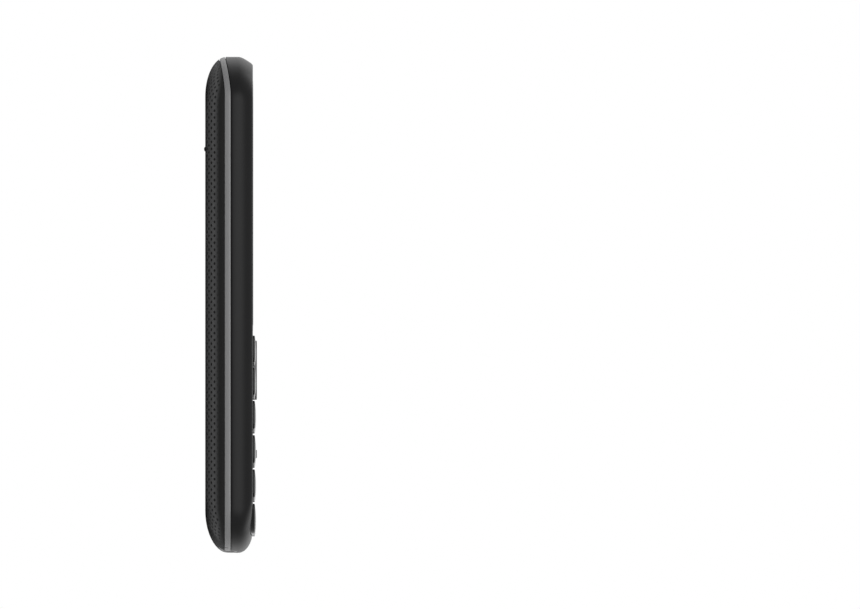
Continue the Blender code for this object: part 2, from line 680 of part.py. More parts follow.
# Trim band
def build_band(whole_body):
    rings = [body_ring(BAND_BACK, -OVERRUN), body_ring(BAND_FRONT, -OVERRUN),
             body_ring(BAND_FRONT, BAND_WALL), body_ring(BAND_BACK, BAND_WALL)]
    band = loft("trim_band", rings, GUNMETAL, around=True)
    for port, size in RING_HEIGHTS.items():
        join(band, port_shape(f"band_{port}_ring", port, size))
    cut(band, whole_body, operation="INTERSECT")
    jack_hole = port_shape("band_jack_hole", "jack", JACK_BORE, OVERRUN)
    torch_hole = port_shape("band_torch_hole", "torch", TORCH_BORE, OVERRUN)
    usb_hole = stadium_rod("band_usb_hole", USB_WIDTH + 2 * SEAM_GAP, USB_HEIGHT + 2 * SEAM_GAP,
                           USB_X, USB_Z, BOTTOM_OUT_Y, RING_BOTTOM_Y + OVERRUN, cutter=True)
    mic_hole = rod("band_mic_hole", MIC_BORE, (MIC_X, BOTTOM_OUT_Y, MIC_Z),
                   (MIC_X, RING_BOTTOM_Y, MIC_Z), steps=10, cutter=True)
    cut(band, jack_hole, torch_hole, usb_hole, mic_hole, nail_slot())


def side_point(y, z):
    """X of the body's right side at a place along it, worked out from its outline."""
    half_width = float(side_half_width(np.array(z), 0))
    depth = END_DEPTH * half_width / HALF_WIDTH
    straight_end = float(bottom_end_y(np.array(z), 0)) + depth
    share = min(max((straight_end - y) / depth, 0), 1)
    return half_width * (1 - share ** END_POWER) ** (1 / END_POWER)


def nail_slot():
    """A groove with sloped ends along the band's back edge, which follows the corner."""
    first, last = SLOT_START_Y - SLOT_DEPTH, SLOT_END_Y + SLOT_DEPTH
    places = [(SLOT_START_Y, -SEAM_GAP)]
    places += [(between(first, last, i / SLOT_STEPS), SLOT_DEPTH) for i in range(SLOT_STEPS + 1)]
    places += [(SLOT_END_Y, -SEAM_GAP)]
    low = BAND_BACK_Z - OVERRUN
    rings = []
    for y, depth in places:
        surface = side_point(y, BAND_CENTRE_Z)
        inner, outer = surface - depth, surface + OVERRUN
        rings.append([(inner, y, low), (outer, y, low), (outer, y, SLOT_TOP_Z), (inner, y, SLOT_TOP_Z)])
    return loft("nail_slot", rings, cutter=True)


# Key outlines
def rounded_rectangle(x0, x1, y0, y1, corners, edge_shares=(0.5,)):
    """Points round a rectangle from its lower right corner, anticlockwise, with a radius for each
    corner and points along its upper and lower edges at these shares of the width."""
    centres = [(x1, y0, 1, -1), (x1, y1, 1, 1), (x0, y1, -1, 1), (x0, y0, -1, -1)]
    points = []
    for quadrant, (radius, (x, y, to_right, to_top)) in enumerate(zip(corners, centres)):
        for i in range(KEY_CORNER_STEPS + 1):
            turn = math.pi / 2 * (quadrant - 1 + i / KEY_CORNER_STEPS)
            points.append((x - to_right * radius + radius * math.cos(turn),
                           y - to_top * radius + radius * math.sin(turn)))
        if quadrant == 1:
            points += [(between(x1, x0, share), y) for share in edge_shares]
        if quadrant == 3:
            points += [(between(x0, x1, share), y) for share in edge_shares]
    return points


def smile(x):
    """How far a row has sagged at this distance from the middle."""
    return -KEY_SAG * (1 - (x / KEY_FIELD_HALF_WIDTH) ** 2)


def key_ring(key, z, grow, lap=0.0):
    """One ring of a key: its outline grown by grow, and by lap more towards the rows beside it."""
    x0, x1, y0, y1, corners = key["x0"], key["x1"], key["y0"], key["y1"], key["corners"]
    least = KEY_CORNER / 4
    corners = [max(radius + grow, least) for radius in corners]
    side_lap = min(lap, KEY_FLANGE_SIDE_LAP)
    lower_lap = side_lap if key["last_row"] else lap
    points = rounded_rectangle(x0 - grow - side_lap, x1 + grow + side_lap, y0 - grow - lower_lap,
                               y1 + grow + lap, corners)
    return [(x, y + (smile(x) if key["bends"] else 0), z) for x, y in points]


def key_rise(rise):
    return BODY_THICKNESS + rise


def build_key(name, key, finish=KEY_BLACK):
    origin = ((key["x0"] + key["x1"]) / 2, (key["y0"] + key["y1"]) / 2, KEY_FLANGE_BACK_Z)
    rings = [key_ring(key, KEY_FLANGE_BACK_Z, 0, KEY_FLANGE_LAP),
             key_ring(key, KEY_FLANGE_FRONT_Z, 0, KEY_FLANGE_LAP),
             key_ring(key, KEY_FLANGE_FRONT_Z, 0),
             key_ring(key, key_rise(KEY_EDGE_RISE), 0),
             key_ring(key, key_rise(KEY_SHOULDER_RISE), -KEY_EDGE_ROUND),
             key_ring(key, key_rise(KEY_CREST_RISE), -KEY_PILLOW_INSET)]
    return loft(name, rings, finish, at=origin)


def key_of(column, y_top, y_bottom, last_row=False):
    """Outline values of a key in column -1, 0 or 1, where the outer ones mirror each other."""
    low, high = SIDE_KEY_INNER_X, KEY_FIELD_HALF_WIDTH
    x0, x1 = {-1: (-high, -low), 0: (-KEY_MIDDLE_HALF_WIDTH, KEY_MIDDLE_HALF_WIDTH), 1: (low, high)}[column]
    corners = [KEY_CORNER] * 4
    if last_row and column:
        corners[0 if column > 0 else 3] = KEY_BIG_CORNER
    return {"x0": x0, "x1": x1, "y0": y_bottom, "y1": y_top, "corners": corners,
            "bends": True, "last_row": last_row}


DIGIT_NAMES = (("key_1", "key_2", "key_3"), ("key_4", "key_5", "key_6"),
               ("key_7", "key_8", "key_9"), ("key_star", "key_0", "key_hash"))


def all_keys():
    """Name and outline of every key but the direction ring and its middle."""
    keys = {"softkey_left": key_of(-1, SOFT_TOP_Y, SOFT_BOTTOM_Y),
            "softkey_right": key_of(1, SOFT_TOP_Y, SOFT_BOTTOM_Y),
            "call_key": key_of(-1, CALL_TOP_Y, CALL_BOTTOM_Y),
            "end_key": key_of(1, CALL_TOP_Y, CALL_BOTTOM_Y)}
    for row, names in enumerate(DIGIT_NAMES):
        top = DIGITS_TOP_Y - row * DIGIT_PITCH
        last_row = row == DIGIT_ROW_COUNT - 1
        for column, name in zip((-1, 0, 1), names):
            keys[name] = key_of(column, top, top - DIGIT_HEIGHT, last_row)
    return keys


KEYS = all_keys()
NAV = {"x0": -KEY_MIDDLE_HALF_WIDTH, "x1": KEY_MIDDLE_HALF_WIDTH, "y0": NAV_BOTTOM_Y, "y1": NAV_TOP_Y,
       "corners": [NAV_CORNER] * 4, "bends": False, "last_row": False}
OK = {"x0": -OK_HALF_WIDTH, "x1": OK_HALF_WIDTH, "y0": NAV_CENTRE_Y - OK_HALF_WIDTH,
      "y1": NAV_CENTRE_Y + OK_HALF_WIDTH, "corners": [OK_CORNER] * 4, "bends": False, "last_row": False}


def opening_cutter(name, key, grow):
    rings = [key_ring(key, KEY_MAT_FRONT_Z, grow), key_ring(key, BODY_THICKNESS + OVERRUN, grow)]
    return loft(name, rings, cutter=True)


def row_cutter(name, left, right):
    """One opening for a whole row, which runs from its left key's outline to its right key's."""
    grow = KEY_CLEARANCE
    corners = [radius + grow for radius in right["corners"][:2] + left["corners"][2:]]
    outline = rounded_rectangle(left["x0"] - grow, right["x1"] + grow, left["y0"] - grow,
                                left["y1"] + grow, corners, SMILE_SHARES)
    rings = [[(x, y + smile(x), z) for x, y in outline]
             for z in (KEY_MAT_FRONT_Z, BODY_THICKNESS + OVERRUN)]
    return loft(name, rings, cutter=True)


# Front window
def lens_outline(grow):
    """Straight sides, a superellipse at the top, and the keypad's smile along the bottom."""
    across, along = end_directions(CORNER_STEPS)
    half_width = LENS_HALF_WIDTH + grow
    depth = LENS_END_DEPTH + grow
    top = [(half_width * a, LENS_TOP_Y + grow - depth * (1 - b)) for a, b in zip(across, along)]
    corner = KEY_CORNER + grow
    bottom = []
    for side in (-1, 1):
        turns = [math.pi / 2 * i / KEY_CORNER_STEPS for i in range(KEY_CORNER_STEPS + 1)]
        arc = [(side * (half_width - corner + corner * math.cos(t)),
                LENS_BOTTOM_Y - grow + corner - corner * math.sin(t)) for t in turns]
        bottom += arc if side < 0 else arc[::-1]
        if side < 0:
            bottom += [(half_width * share, LENS_BOTTOM_Y - grow) for share in LENS_BOTTOM_SHARES]
    return top + [(x, y + smile(x) if y < LENS_BOTTOM_Y + corner else y) for x, y in bottom]


def build_lens():
    levels = ((LENS_BACK_Z, 0), (LENS_FRONT_Z - LENS_EDGE, 0), (LENS_FRONT_Z, -LENS_EDGE))
    rings = [[(x, y, z) for x, y in lens_outline(grow)] for z, grow in levels]
    lens = loft("display_lens", rings, GLOSS_BLACK)
    half_slot = EAR_SLOT_WIDTH / 2
    slot_low_y, slot_high_y = EAR_SLOT_Y - EAR_SLOT_HEIGHT / 2, EAR_SLOT_Y + EAR_SLOT_HEIGHT / 2
    slot = box("lens_ear_slot", (-half_slot, slot_low_y, LENS_BACK_Z - OVERRUN),
               (half_slot, slot_high_y, LENS_FRONT_Z + OVERRUN), corner=EAR_SLOT_HEIGHT / 3, cutter=True)
    cut(lens, slot)
    half_width = EAR_SLOT_WIDTH / 2 - SEAM_GAP
    half_height = EAR_SLOT_HEIGHT / 2 - SEAM_GAP
    middle_z = (LENS_BACK_Z + LENS_FRONT_Z) / 2
    box("earpiece_mesh", (-half_width, EAR_SLOT_Y - half_height, middle_z - EAR_MESH_THICKNESS / 2),
        (half_width, EAR_SLOT_Y + half_height, middle_z + EAR_MESH_THICKNESS / 2), MESH_BLACK)


# Front housing
def screw_places():
    return [(side * SCREW_X, y) for y in SCREW_YS for side in (-1, 1)]


def boss_block(index, x, y):
    """A block on the inner side wall that a screw bites into."""
    side = math.copysign(1, x)
    low_x, high_x = sorted((side * BOSS_INNER_X, side * BOSS_OUTER_X))
    return box(f"boss_block_{index}", (low_x, y - BOSS_HALF_LENGTH, PCB_BACK_Z),
               (high_x, y + BOSS_HALF_LENGTH, PCB_BACK_Z + BOSS_HEIGHT), cutter=True)


def build_front_housing():
    rim = BAND_FRONT + SEAM_GAP
    housing = shell("front_housing", shell_rings(rim, BODY_THICKNESS, FRONT_RING_SHARES),
                    shell_rings(rim, CEILING_Z, FRONT_INNER_SHARES, SIDE_WALL), SATIN_BLACK)
    for index, (x, y) in enumerate(screw_places()):
        join(housing, boss_block(index, x, y))
        hole_top = SCREW_SEAT_Z + SCREW_LENGTH + FIT_GAP
        cut(housing, rod(f"boss_hole_{index}", SCREW_SHANK_WIDTH + 2 * SEAM_GAP,
                         (x, y, PCB_BACK_Z - OVERRUN), (x, y, hole_top), steps=8, cutter=True))
    seat = [[(x, y, z) for x, y in lens_outline(SEAM_GAP)] for z in (LENS_SEAT_Z, LENS_FRONT_Z + OVERRUN)]
    cut(housing, loft("lens_seat", seat, cutter=True))
    cut(housing, box("display_window", (-WINDOW_HALF_WIDTH, WINDOW_BOTTOM_Y, CEILING_Z - OVERRUN),
                     (WINDOW_HALF_WIDTH, WINDOW_TOP_Y, LENS_SEAT_Z + OVERRUN), cutter=True))
    half_slot, half_height = EAR_SLOT_WIDTH / 2, EAR_SLOT_HEIGHT / 2
    cut(housing, box("ear_window", (-half_slot, EAR_SLOT_Y - half_height, CEILING_Z - OVERRUN),
                     (half_slot, EAR_SLOT_Y + half_height, LENS_SEAT_Z + OVERRUN), cutter=True))
    for name in ("softkey_left", "softkey_right", "call_key", "end_key"):
        cut(housing, opening_cutter(name + "_opening", KEYS[name], KEY_CLEARANCE))
    cut(housing, opening_cutter("nav_opening", NAV, KEY_CLEARANCE))
    for row, names in enumerate(DIGIT_NAMES):
        cut(housing, row_cutter(f"digit_row_{row}_opening", KEYS[names[0]], KEYS[names[-1]]))
    cut(housing, *port_clearances("housing", OVERRUN))


# Direction ring, its carrier and the middle key
def build_navigation():
    top = BODY_THICKNESS + NAV_RISE
    shoulder = top - NAV_EDGE_ROUND
    rim_inner = NAV_EDGE_ROUND + NAV_RIM
    rings = [key_ring(NAV, NAV_RING_BACK_Z, 0), key_ring(NAV, shoulder, 0),
             key_ring(NAV, top, -NAV_EDGE_ROUND), key_ring(NAV, top, -rim_inner),
             key_ring(NAV, top - NAV_MIDDLE_DROP, -rim_inner - NAV_MIDDLE_DROP),
             key_ring(OK, top - NAV_MIDDLE_DROP, KEY_CLEARANCE), key_ring(OK, NAV_RING_BACK_Z, KEY_CLEARANCE)]
    loft("nav_ring", rings, RING_GREY, at=(0, NAV_CENTRE_Y, NAV_PIVOT_Z), around=True)
    hole = KEY_FLANGE_LAP + KEY_CLEARANCE
    levels = ((NAV_CARRIER_BACK_Z, NAV_CARRIER_FRONT_Z), (NAV_CARRIER_FRONT_Z, NAV_CARRIER_BACK_Z))
    rings = [key_ring(NAV, z, -NAV_CARRIER_INSET, NAV_CARRIER_INSET + KEY_FLANGE_LAP) for z in levels[0]]
    rings += [key_ring(OK, z, hole) for z in levels[1]]
    loft("nav_carrier", rings, CONNECTOR_WHITE, at=(0, NAV_CENTRE_Y, NAV_PIVOT_Z), around=True)
    build_key("ok_key", OK)


def build_keys():
    for name, key in KEYS.items():
        body = build_key(name, key)
        if name != "key_5":
            continue
        y = (key["y0"] + key["y1"]) / 2 + smile(0)
        nub = rod("key_5_nub", NUB_5_DIAMETER, (0, y, key_rise(KEY_EDGE_RISE)),
                  (0, y, key_rise(NUB_5_RISE)), cutter=True)
        join(body, nub)


# Sheets and boards behind the keys
def dome_places():
    places = [((key["x0"] + key["x1"]) / 2, (key["y0"] + key["y1"]) / 2) for key in KEYS.values()]
    places = [(x, y + smile(x)) for x, y in places]
    reach = (KEY_MIDDLE_HALF_WIDTH + OK_HALF_WIDTH) / 2
    ring = [(0, 0), (reach, 0), (-reach, 0), (0, reach), (0, -reach)]
    return places + [(x, NAV_CENTRE_Y + y) for x, y in ring]


def jack_notch(name, back, front):
    """A cutter that clears the headphone socket's body from a board or sheet."""
    half = JACK_BODY_WIDTH / 2 + FIT_GAP
    return box(name, (JACK_X - half, BOTTOM_OUT_Y, back - OVERRUN),
               (JACK_X + half, JACK_FRONT_Y + JACK_BODY_LENGTH + FIT_GAP, front + OVERRUN), cutter=True)


def build_dome_sheet():
    front = DOME_SHEET_BACK_Z + DOME_SHEET_THICKNESS
    sheet = box("dome_sheet", (-SHEET_HALF_WIDTH, SHEET_BOTTOM_Y, DOME_SHEET_BACK_Z),
                (SHEET_HALF_WIDTH, SHEET_TOP_Y, front), POLYESTER, corner=SHEET_CORNER)
    for index, (x, y) in enumerate(dome_places()):
        grid = bmesh.new()
        height = DOME_RISE + DOME_SHEET_THICKNESS / 2
        bmesh.ops.create_cone(grid, cap_ends=True, segments=8, radius1=DOME_WIDTH / 2,
                              radius2=DOME_WIDTH / 2 * DOME_TOP_SHARE, depth=height)
        name = f"dome_{index}"
        at = (x, y, front - DOME_SHEET_THICKNESS / 2 + height / 2)
        join(sheet, add_object(name, mesh_from(name, grid), None, at, cutter=True))
    cut(sheet, jack_notch("sheet_jack_notch", DOME_SHEET_BACK_Z, front))


def build_boards():
    board = box("main_board", (-PCB_HALF_WIDTH, PCB_BOTTOM_Y, PCB_BACK_Z),
                (PCB_HALF_WIDTH, PCB_TOP_Y, PCB_FRONT_Z), BOARD_GREEN, corner=PCB_CORNER)
    usb_half = USB_WIDTH / 2 + FIT_GAP
    usb_back_y = -HALF_LENGTH + USB_SETBACK + USB_LENGTH
    cut(board, box("board_usb_notch", (USB_X - usb_half, BOTTOM_OUT_Y, PCB_BACK_Z - OVERRUN),
                   (USB_X + usb_half, usb_back_y + FIT_GAP, PCB_FRONT_Z + OVERRUN), cutter=True))
    cut(board, jack_notch("board_jack_notch", PCB_BACK_Z, PCB_FRONT_Z))
    box("key_mat", (-SHEET_HALF_WIDTH, SHEET_BOTTOM_Y, KEY_MAT_BACK_Z),
        (SHEET_HALF_WIDTH, SHEET_TOP_Y, KEY_MAT_FRONT_Z), SILICONE, corner=SHEET_CORNER)
    box("display_module", (-DISPLAY_HALF_WIDTH, DISPLAY_BOTTOM_Y, DISPLAY_BACK_Z),
        (DISPLAY_HALF_WIDTH, DISPLAY_TOP_Y, DISPLAY_FRONT_Z), GLOSS_BLACK, corner=COMPONENT_EDGE)
    flex_z = (PCB_FRONT_Z + DISPLAY_BACK_Z) / 2
    box("display_flex", (-FLEX_WIDTH / 2, DISPLAY_BOTTOM_Y, flex_z - FLEX_THICKNESS / 2),
        (FLEX_WIDTH / 2, DISPLAY_BOTTOM_Y + FLEX_LENGTH, flex_z + FLEX_THICKNESS / 2), FLEX_BROWN,
        corner=COMPONENT_EDGE)
    box("earpiece_receiver", (-RECEIVER_WIDTH / 2, RECEIVER_Y - RECEIVER_LENGTH / 2,
                              DISPLAY_FRONT_Z - RECEIVER_THICKNESS),
        (RECEIVER_WIDTH / 2, RECEIVER_Y + RECEIVER_LENGTH / 2, DISPLAY_FRONT_Z), STEEL,
        corner=RECEIVER_LENGTH / 3)


# Carrier frame behind the board
def build_frame():
    rings = shell_rings(FRAME_BACK_Z, FRAME_FRONT_Z, FRAME_RING_SHARES, FRAME_INSET)
    frame = loft("rear_frame", rings, FRAME_BLACK)
    back, front = FRAME_BACK_Z - OVERRUN, FRAME_FRONT_Z + OVERRUN
    half_battery = BATTERY_HALF_WIDTH + FIT_GAP
    battery_low_y = BATTERY_BOTTOM_Y - FIT_GAP
    connector_top_y = CONNECTOR_Y + CONNECTOR_LENGTH + FIT_GAP
    half_connector = CONNECTOR_WIDTH / 2 + FIT_GAP
    speaker_half = SPEAKER_WIDTH / 2 + FIT_GAP
    speaker_long = SPEAKER_LENGTH / 2 + FIT_GAP
    sim_half = SIM_X + SIM_WIDTH / 2 + FIT_GAP
    sim_long = SIM_LENGTH / 2 + FIT_GAP
    motor_half = MOTOR_WIDTH / 2 + FIT_GAP
    motor_low_y = MOTOR_Y - MOTOR_LENGTH / 2 - FIT_GAP
    motor_high_y = MOTOR_Y + MOTOR_LENGTH / 2 + MOTOR_SHAFT_LENGTH + FIT_GAP
    can_back = PCB_BACK_Z - SEAM_GAP - CAN_THICKNESS - FIT_GAP
    torch_half = TORCH_RING / 2 + FIT_GAP
    led_back_y = PCB_TOP_Y - LED_LENGTH - FIT_GAP
    jack_half = JACK_RING / 2 + FIT_GAP * 2
    jack_top_y = JACK_FRONT_Y + JACK_BODY_LENGTH + FIT_GAP
    usb_half = USB_RING_WIDTH / 2 + FIT_GAP
    usb_top_y = -HALF_LENGTH + USB_SETBACK + USB_LENGTH + FIT_GAP
    mic_half = MIC_WIDTH / 2 + FIT_GAP
    mic_top_y = MIC_Y + MIC_LENGTH + FIT_GAP
    antenna_half = ANTENNA_WIDTH / 2 + FIT_GAP
    antenna_long = ANTENNA_LENGTH / 2 + FIT_GAP
    pockets = {
        "battery": ((-half_battery, battery_low_y, back),
                    (half_battery, BATTERY_TOP_Y + FIT_GAP, FRAME_FLOOR_Z)),
        "connector": ((-half_connector, BATTERY_TOP_Y, back), (half_connector, connector_top_y, front)),
        "sim": ((-sim_half, SIM_Y - sim_long, back), (sim_half, SIM_Y + sim_long, front)),
        "speaker": ((-speaker_half, SPEAKER_Y - speaker_long, back),
                    (speaker_half, SPEAKER_Y + speaker_long, SPEAKER_FRONT_Z + FIT_GAP)),
        "motor": ((MOTOR_X - motor_half, motor_low_y, back),
                  (MOTOR_X + motor_half, motor_high_y, MOTOR_Z + motor_half)),
        "torch": ((TORCH_X - torch_half, led_back_y, back), (TORCH_X + torch_half, TOP_OUT_Y, front)),
        "jack": ((JACK_X - JACK_BODY_WIDTH / 2 - FIT_GAP, BOTTOM_OUT_Y, JACK_Z - jack_half),
                 (JACK_X + JACK_BODY_WIDTH / 2 + FIT_GAP, jack_top_y, front)),
        "usb": ((USB_X - usb_half, BOTTOM_OUT_Y, USB_Z - USB_RING_HEIGHT / 2 - FIT_GAP),
                (USB_X + usb_half, usb_top_y, front)),
        "mic": ((MIC_X - mic_half, BOTTOM_OUT_Y, MIC_Z - BOOT_HALF_WIDTH - FIT_GAP),
                (MIC_X + mic_half, mic_top_y, front)),
        "antenna": ((ANTENNA_X - antenna_half, ANTENNA_Y - antenna_long, back),
                    (ANTENNA_X + antenna_half, ANTENNA_Y + antenna_long, ANTENNA_FRONT_Z + FIT_GAP)),
    }
    for number, (x, y, width, length) in CANS.items():
        half, long = width / 2 + FIT_GAP, length / 2 + FIT_GAP
        pockets[f"can_{number}"] = ((x - half, y - long, can_back), (x + half, y + long, front))
    for name, (low, high) in pockets.items():
        cut(frame, box(f"frame_{name}_pocket", low, high, cutter=True))
    for index, (x, y) in enumerate(screw_places()):
        cut(frame, rod(f"frame_hole_{index}", SCREW_SHANK_WIDTH + 2 * SEAM_GAP,
                       (x, y, SCREW_SEAT_Z - OVERRUN), (x, y, front), steps=8, cutter=True))
        cut(frame, rod(f"frame_seat_{index}", SCREW_HEAD_WIDTH + 2 * SEAM_GAP, (x, y, back),
                       (x, y, SCREW_SEAT_Z), steps=SCREW_STEPS, cutter=True))
    for index, (side, y) in enumerate(tab_places()):
        low_x, high_x = sorted((side * (TAB_INNER_X - FIT_GAP), side * (HALF_WIDTH + OVERRUN)))
        cut(frame, box(f"frame_tab_notch_{index}", (low_x, y - TAB_HALF_LENGTH - FIT_GAP, back),
                       (high_x, y + TAB_HALF_LENGTH + FIT_GAP, front), cutter=True))


def tab_places():
    """Tabs stand between the screws, one in the upper bay and two in the lower one."""
    places = [between(SCREW_TOP_Y, SCREW_MIDDLE_Y, UPPER_TAB_SHARE)]
    places += [between(SCREW_MIDDLE_Y, SCREW_BOTTOM_Y, share) for share in LOWER_TAB_SHARES]
    return [(side, y) for y in places for side in (-1, 1)]


# Back cover
def build_cover():
    rim = BAND_BACK - SEAM_GAP
    cover = shell("back_cover", shell_rings(rim, 0, COVER_RING_SHARES),
                  shell_rings(rim, COVER_WALL, COVER_INNER_SHARES, COVER_WALL), TEXTURED_BLACK)
    for index, (side, y) in enumerate(tab_places()):
        low_x, high_x = sorted((side * TAB_INNER_X, side * (HALF_WIDTH - FRAME_INSET)))
        join(cover, box(f"cover_tab_{index}", (low_x, y - TAB_HALF_LENGTH, TAB_BACK_Z),
                        (high_x, y + TAB_HALF_LENGTH, TAB_FRONT_Z), cutter=True))
    half_slot, half_length = GRILLE_SLOT_WIDTH / 2, GRILLE_SLOT_LENGTH / 2
    for count in range(1, GRILLE_SIDE_COUNT + 1):
        for side in (-1, 1):
            x = side * count * GRILLE_PITCH
            cut(cover, box(f"grille_slot_{side * count}",
                           (x - half_slot, SPEAKER_Y - half_length, -OVERRUN),
                           (x + half_slot, SPEAKER_Y + half_length, COVER_WALL + OVERRUN), cutter=True))
    grid = bmesh.new()
    depth = NUB_HEIGHT + COVER_WALL / 2
    bmesh.ops.create_cone(grid, cap_ends=True, segments=12, radius1=NUB_WIDTH / 4, radius2=NUB_WIDTH / 2,
                          depth=depth)
    nub = add_object("cover_nub", mesh_from("cover_nub", grid), None,
                     (0, SPEAKER_Y, depth / 2 - NUB_HEIGHT), cutter=True)
    join(cover, nub)
    cut(cover, *port_clearances("cover", OVERRUN))
    mesh_back = COVER_WALL + SEAM_GAP
    box("speaker_mesh", (-SPEAKER_WIDTH / 2, SPEAKER_Y - SPEAKER_LENGTH / 2, mesh_back),
        (SPEAKER_WIDTH / 2, SPEAKER_Y + SPEAKER_LENGTH / 2, mesh_back + SPEAKER_MESH_THICKNESS), MESH_BLACK)


# Battery, screws and parts on the board
def build_screws():
    for number, (x, y) in enumerate(screw_places(), start=1):
        name = f"screw_{number}"
        seat = SCREW_SEAT_Z - SEAM_GAP
        head_back = seat - SCREW_HEAD_HEIGHT
        screw = rod(name, SCREW_HEAD_WIDTH, (x, y, head_back), (x, y, seat), STEEL, steps=SCREW_STEPS)
        join(screw, rod(name + "_shank", SCREW_SHANK_WIDTH, (x, y, seat - SCREW_HEAD_HEIGHT / 2),
                        (x, y, SCREW_SEAT_Z + SCREW_LENGTH), steps=8, cutter=True))
        cut(screw, rod(name + "_drive", SCREW_DRIVE_WIDTH, (x, y, head_back - OVERRUN),
                       (x, y, head_back + SCREW_DRIVE_DEPTH), steps=6, cutter=True))


def build_power():
    box("battery", (-BATTERY_HALF_WIDTH, BATTERY_BOTTOM_Y, BATTERY_BACK_Z),
        (BATTERY_HALF_WIDTH, BATTERY_TOP_Y, BATTERY_FRONT_Z), CELL_GREY, edge=BATTERY_EDGE)
    half = CONNECTOR_WIDTH / 2
    block = box("battery_connector", (-half, CONNECTOR_Y, CONNECTOR_BACK_Z),
                (half, CONNECTOR_Y + CONNECTOR_LENGTH, PCB_BACK_Z - SEAM_GAP), CONNECTOR_BLACK)
    middle_z = (CONNECTOR_BACK_Z + BATTERY_FRONT_Z) / 2
    half_pin = CONNECTOR_PIN_WIDTH / 2
    pin_low_z, pin_high_z = middle_z - CONNECTOR_PIN_WIDTH, middle_z + CONNECTOR_PIN_WIDTH
    for index in range(CONNECTOR_PIN_COUNT):
        x = (index - (CONNECTOR_PIN_COUNT - 1) / 2) * CONNECTOR_PIN_PITCH
        pin = box(f"connector_pin_{index}", (x - half_pin, CONNECTOR_Y - CONNECTOR_PIN_REACH, pin_low_z),
                  (x + half_pin, CONNECTOR_Y + CONNECTOR_LENGTH / 2, pin_high_z), cutter=True)
        join(block, pin)


def on_board(name, x, y, width, length, thickness, finish, corner=COMPONENT_EDGE, lift=0.0):
    """A flat part on the back of the board."""
    front = PCB_BACK_Z - SEAM_GAP - lift
    return box(name, (x - width / 2, y - length / 2, front - thickness),
               (x + width / 2, y + length / 2, front), finish, corner=corner)


def build_board_parts():
    for number, side in ((1, -1), (2, 1)):
        on_board(f"sim_socket_{number}", side * SIM_X, SIM_Y, SIM_WIDTH, SIM_LENGTH, SIM_THICKNESS, STEEL)
    on_board("sd_socket", SIM_X, SIM_Y, SD_WIDTH, SD_LENGTH, SD_THICKNESS, STEEL,
             lift=SIM_THICKNESS + SD_Z_GAP)
    for number, (x, y, width, length) in CANS.items():
        on_board(f"shield_can_{number}", x, y, width, length, CAN_THICKNESS, STEEL)
    box("loudspeaker", (-SPEAKER_WIDTH / 2, SPEAKER_Y - SPEAKER_LENGTH / 2, SPEAKER_BACK_Z),
        (SPEAKER_WIDTH / 2, SPEAKER_Y + SPEAKER_LENGTH / 2, SPEAKER_FRONT_Z), CONNECTOR_BLACK,
        corner=SPEAKER_MESH_THICKNESS * 2)
    box("antenna", (ANTENNA_X - ANTENNA_WIDTH / 2, ANTENNA_Y - ANTENNA_LENGTH / 2, ANTENNA_BACK_Z),
        (ANTENNA_X + ANTENNA_WIDTH / 2, ANTENNA_Y + ANTENNA_LENGTH / 2, ANTENNA_FRONT_Z), GOLD,
        corner=COMPONENT_EDGE)


def build_motor():
    start, end = MOTOR_Y - MOTOR_LENGTH / 2, MOTOR_Y + MOTOR_LENGTH / 2
    can = rod("vibration_motor", MOTOR_WIDTH, (MOTOR_X, start, MOTOR_Z), (MOTOR_X, end, MOTOR_Z), STEEL,
              steps=MOTOR_STEPS)
    bearing = end - MOTOR_SHAFT_WIDTH
    cut(can, rod("motor_bore", MOTOR_SHAFT_WIDTH + 2 * FIT_GAP, (MOTOR_X, bearing - FIT_GAP, MOTOR_Z),
                 (MOTOR_X, end + OVERRUN, MOTOR_Z), steps=8, cutter=True))
    weight_start = end + WEIGHT_GAP
    middle = weight_start + WEIGHT_LENGTH / 2
    axis = (MOTOR_X, middle, MOTOR_Z)
    weight = rod("motor_weight", WEIGHT_WIDTH, (MOTOR_X, weight_start, MOTOR_Z),
                 (MOTOR_X, weight_start + WEIGHT_LENGTH, MOTOR_Z), STEEL, steps=MOTOR_STEPS, at=axis)
    half = WEIGHT_WIDTH / 2
    cut(weight, box("weight_flat", (MOTOR_X - half - OVERRUN, weight_start - OVERRUN, MOTOR_Z),
                    (MOTOR_X + half + OVERRUN, weight_start + WEIGHT_LENGTH + OVERRUN,
                     MOTOR_Z + WEIGHT_WIDTH), cutter=True))
    join(weight, rod("weight_shaft", MOTOR_SHAFT_WIDTH, (MOTOR_X, bearing, MOTOR_Z),
                     (MOTOR_X, end + MOTOR_SHAFT_LENGTH, MOTOR_Z), steps=8, cutter=True))


# Sockets at the keypad end, and the torch
def build_usb():
    front = -HALF_LENGTH + USB_SETBACK
    back = front + USB_LENGTH
    tube = stadium_rod("usb_shell", USB_WIDTH, USB_HEIGHT, USB_X, USB_Z, front, back, STEEL)
    cut(tube, stadium_rod("usb_bore", USB_WIDTH - 2 * USB_WALL, USB_HEIGHT - 2 * USB_WALL, USB_X, USB_Z,
                          front - OVERRUN, back + OVERRUN, cutter=True))
    plug_width = USB_WIDTH - 2 * (USB_WALL + SEAM_GAP)
    plug_height = USB_HEIGHT - 2 * (USB_WALL + SEAM_GAP)
    base = stadium_rod("usb_tongue", plug_width, plug_height, USB_X, USB_Z, back - USB_BASE_LENGTH, back,
                       CONNECTOR_WHITE)
    tip = back - USB_BASE_LENGTH - USB_TONGUE_LENGTH
    join(base, box("usb_blade", (USB_X - USB_TONGUE_WIDTH / 2, tip, USB_Z - USB_TONGUE_THICKNESS / 2),
                   (USB_X + USB_TONGUE_WIDTH / 2, back - USB_BASE_LENGTH / 2,
                    USB_Z + USB_TONGUE_THICKNESS / 2), cutter=True))


